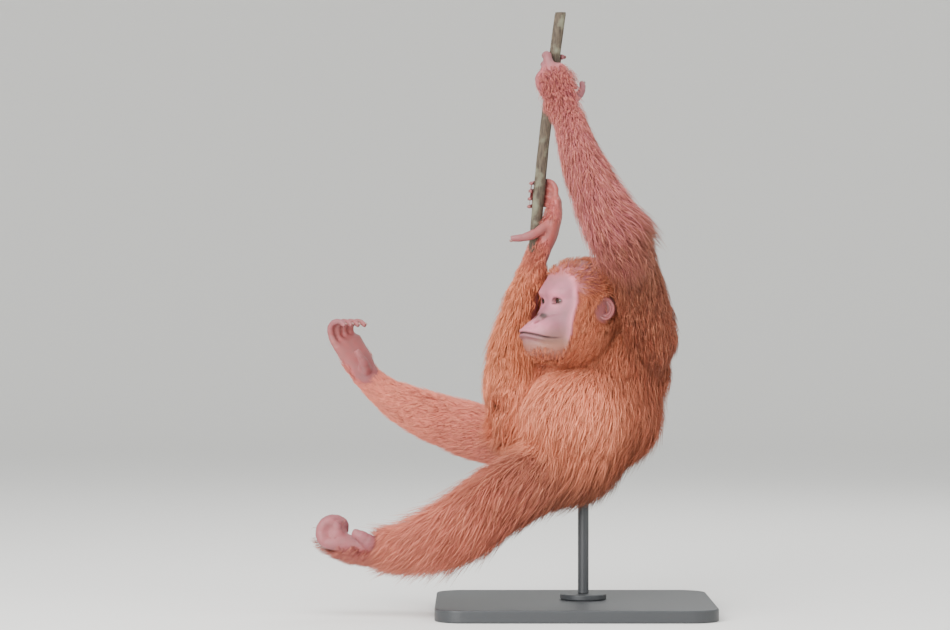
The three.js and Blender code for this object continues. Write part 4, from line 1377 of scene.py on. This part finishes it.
def stem_piece(material):
    """A cut length of a living stem, a little uneven, with flat sawn ends."""
    stem = bmesh.new()
    heights = np.linspace(STEM_FOOT[2], STEM_TOP[2], 90)
    sides = 28
    rings = []
    for z in heights:
        turn = Matrix.Translation(stem_at(z))
        grown = bmesh.ops.create_circle(stem, segments=sides, radius=1, matrix=turn)["verts"]
        swell = STEM_RADIUS * (0.965 + 0.02 * math.sin(z / 23) + 0.012 * math.sin(z / 7.3))
        end = min(z - STEM_FOOT[2], STEM_TOP[2] - z)
        swell *= 0.93 if end < 0.5 else 1
        middle = Vector(stem_at(z))
        for k, vertex in enumerate(grown):
            lump = 1 + 0.012 * math.sin(3 * k * 2 * math.pi / sides + z / 31)
            vertex.co = middle + (vertex.co - middle) * swell * lump
        rings.append(grown)
    for low, high in zip(rings, rings[1:]):
        edges = [edge for ring in (low, high) for edge in
                 {e for vertex in ring for e in vertex.link_edges
                  if e.other_vert(vertex) in ring}]
        bmesh.ops.bridge_loops(stem, edges=edges)
    for ring in (rings[0], rings[-1]):
        bmesh.ops.contextual_create(stem, geom=ring)
    bmesh.ops.recalc_face_normals(stem, faces=stem.faces)
    return piece("stem_bark", mesh_from(stem, "stem_bark"), material, ["stem"])


def round_bar(name, node, edge, material):
    """A turned bar or disc in a solid's place, with its edge eased."""
    low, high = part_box(node)
    centre = (low + high) / 2
    bar = bmesh.new()
    bmesh.ops.create_cone(bar, cap_ends=True, segments=96, radius1=(high.x - low.x) / 2,
                          radius2=(high.x - low.x) / 2, depth=high.z - low.z,
                          matrix=Matrix.Translation(centre))
    rims = [e for e in bar.edges if abs(e.verts[0].co.z - e.verts[1].co.z) < 1e-6]
    bmesh.ops.bevel(bar, geom=rims, offset=edge * MM, affect="EDGES", segments=3, profile=0.5,
                    material=-1)
    bmesh.ops.scale(bar, vec=(1 / MM,) * 3, verts=bar.verts)
    return piece(name, mesh_from(bar, name, smooth=False), material, [node])


def base_plate(material):
    low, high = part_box("stand_base")
    plate = bmesh.new()
    bmesh.ops.create_cube(plate, size=1, matrix=Matrix.Translation((low + high) / 2)
                          @ Matrix.Diagonal((*(high - low), 1)))
    upright = [e for e in plate.edges if abs(e.verts[0].co.z - e.verts[1].co.z) > 1e-6]
    bmesh.ops.bevel(plate, geom=upright, offset=40 * MM, affect="EDGES", segments=16,
                    profile=0.5, material=-1)
    flat = [e for e in plate.edges if abs(e.verts[0].co.z - e.verts[1].co.z) < 1e-6]
    bmesh.ops.bevel(plate, geom=flat, offset=2 * MM, affect="EDGES", segments=3, profile=0.5,
                    material=-1)
    bmesh.ops.scale(plate, vec=(1 / MM,) * 3, verts=plate.verts)
    return piece("stand_plate", mesh_from(plate, "stand_plate", smooth=False), material,
                 ["stand_base"])


# Floor, lights and camera

def studio(material):
    """A round floor of seamless paper whose edge sweeps up into a wall, so it is behind any view."""
    sweep = bmesh.new()
    profile = [(0.0, 0.0), (2.0, 0.0), (5.5, 0.0)]
    profile += [(5.5 + 3 * math.sin(a), 3 - 3 * math.cos(a))
                for a in np.linspace(0.1, math.pi / 2, 16)]
    profile.append((8.5, 5.0))
    vertices = [sweep.verts.new((r, 0, z)) for r, z in profile]
    edges = [sweep.edges.new(pair) for pair in zip(vertices, vertices[1:])]
    bmesh.ops.spin(sweep, geom=vertices + edges, axis=(0, 0, 1), cent=(0, 0, 0), steps=72,
                   angle=2 * math.pi, use_merge=True)
    bmesh.ops.remove_doubles(sweep, verts=sweep.verts, dist=0.0001)
    bmesh.ops.recalc_face_normals(sweep, faces=sweep.faces)
    mesh = bpy.data.meshes.new("backdrop")
    sweep.to_mesh(mesh)
    sweep.free()
    mesh.polygons.foreach_set("use_smooth", [True] * len(mesh.polygons))
    mesh.materials.append(material)
    made = bpy.data.objects.new("backdrop", mesh)
    bpy.context.collection.objects.link(made)


def soft_box(name, place, size, power, colour="#ffffff"):
    lamp = bpy.data.lights.new(name, "AREA")
    lamp.shape = "RECTANGLE"
    lamp.size, lamp.size_y = size
    lamp.energy = power
    lamp.color = linear(colour)[:3]
    made = bpy.data.objects.new(name, lamp)
    made.location = place
    aim = Vector((-0.08, 0, 0.4)) - Vector(place)
    made.rotation_euler = aim.to_track_quat("-Z", "Y").to_euler()
    bpy.context.collection.objects.link(made)


def lights():
    soft_box("sky_panel", (-0.9, -1.2, 2.6), (2.4, 2.4), 80)
    soft_box("front_panel", (-1.6, -3.0, 1.2), (1.8, 1.8), 150)
    soft_box("side_panel", (2.4, -1.4, 1.3), (1.2, 1.8), 24)
    soft_box("back_panel", (0.8, 2.0, 2.2), (1.6, 1.2), 26)
    world = bpy.data.worlds.new("studio")
    world.use_nodes = True
    world.node_tree.nodes["Background"].inputs[0].default_value = linear("#e9edf0")
    world.node_tree.nodes["Background"].inputs[1].default_value = 1.05
    bpy.context.scene.world = world


CAMERA_FAR = 4.45
CAMERA_HIGH = 0.43


def camera():
    """The photograph's view, level and from far off, drawn back to take in the stand's base."""
    lens = bpy.data.cameras.new("camera")
    lens.sensor_width = 36
    lens.lens = 116.6
    made = bpy.data.objects.new("camera", lens)
    made.location = (-0.143, -CAMERA_FAR, CAMERA_HIGH)
    made.rotation_euler = (math.radians(90), 0, 0)
    bpy.context.collection.objects.link(made)
    bpy.context.scene.camera = made


def build():
    camera()
    lights()
    studio(paper_finish())
    skin = skin_piece(skin_finish())
    eye = eye_finish()
    eye_piece("eye_left", 1, eye)
    eye_piece("eye_right", -1, eye)
    nail_piece(nail_finish())
    steel = powder_coat_finish()
    stem_piece(bark_finish())
    base_plate(steel)
    round_bar("stand_disc", "stand_flange", 1.5, steel)
    round_bar("stand_bar", "stand_rod", 0.5, steel)
    coat_pieces(skin, hair_finish())


build()
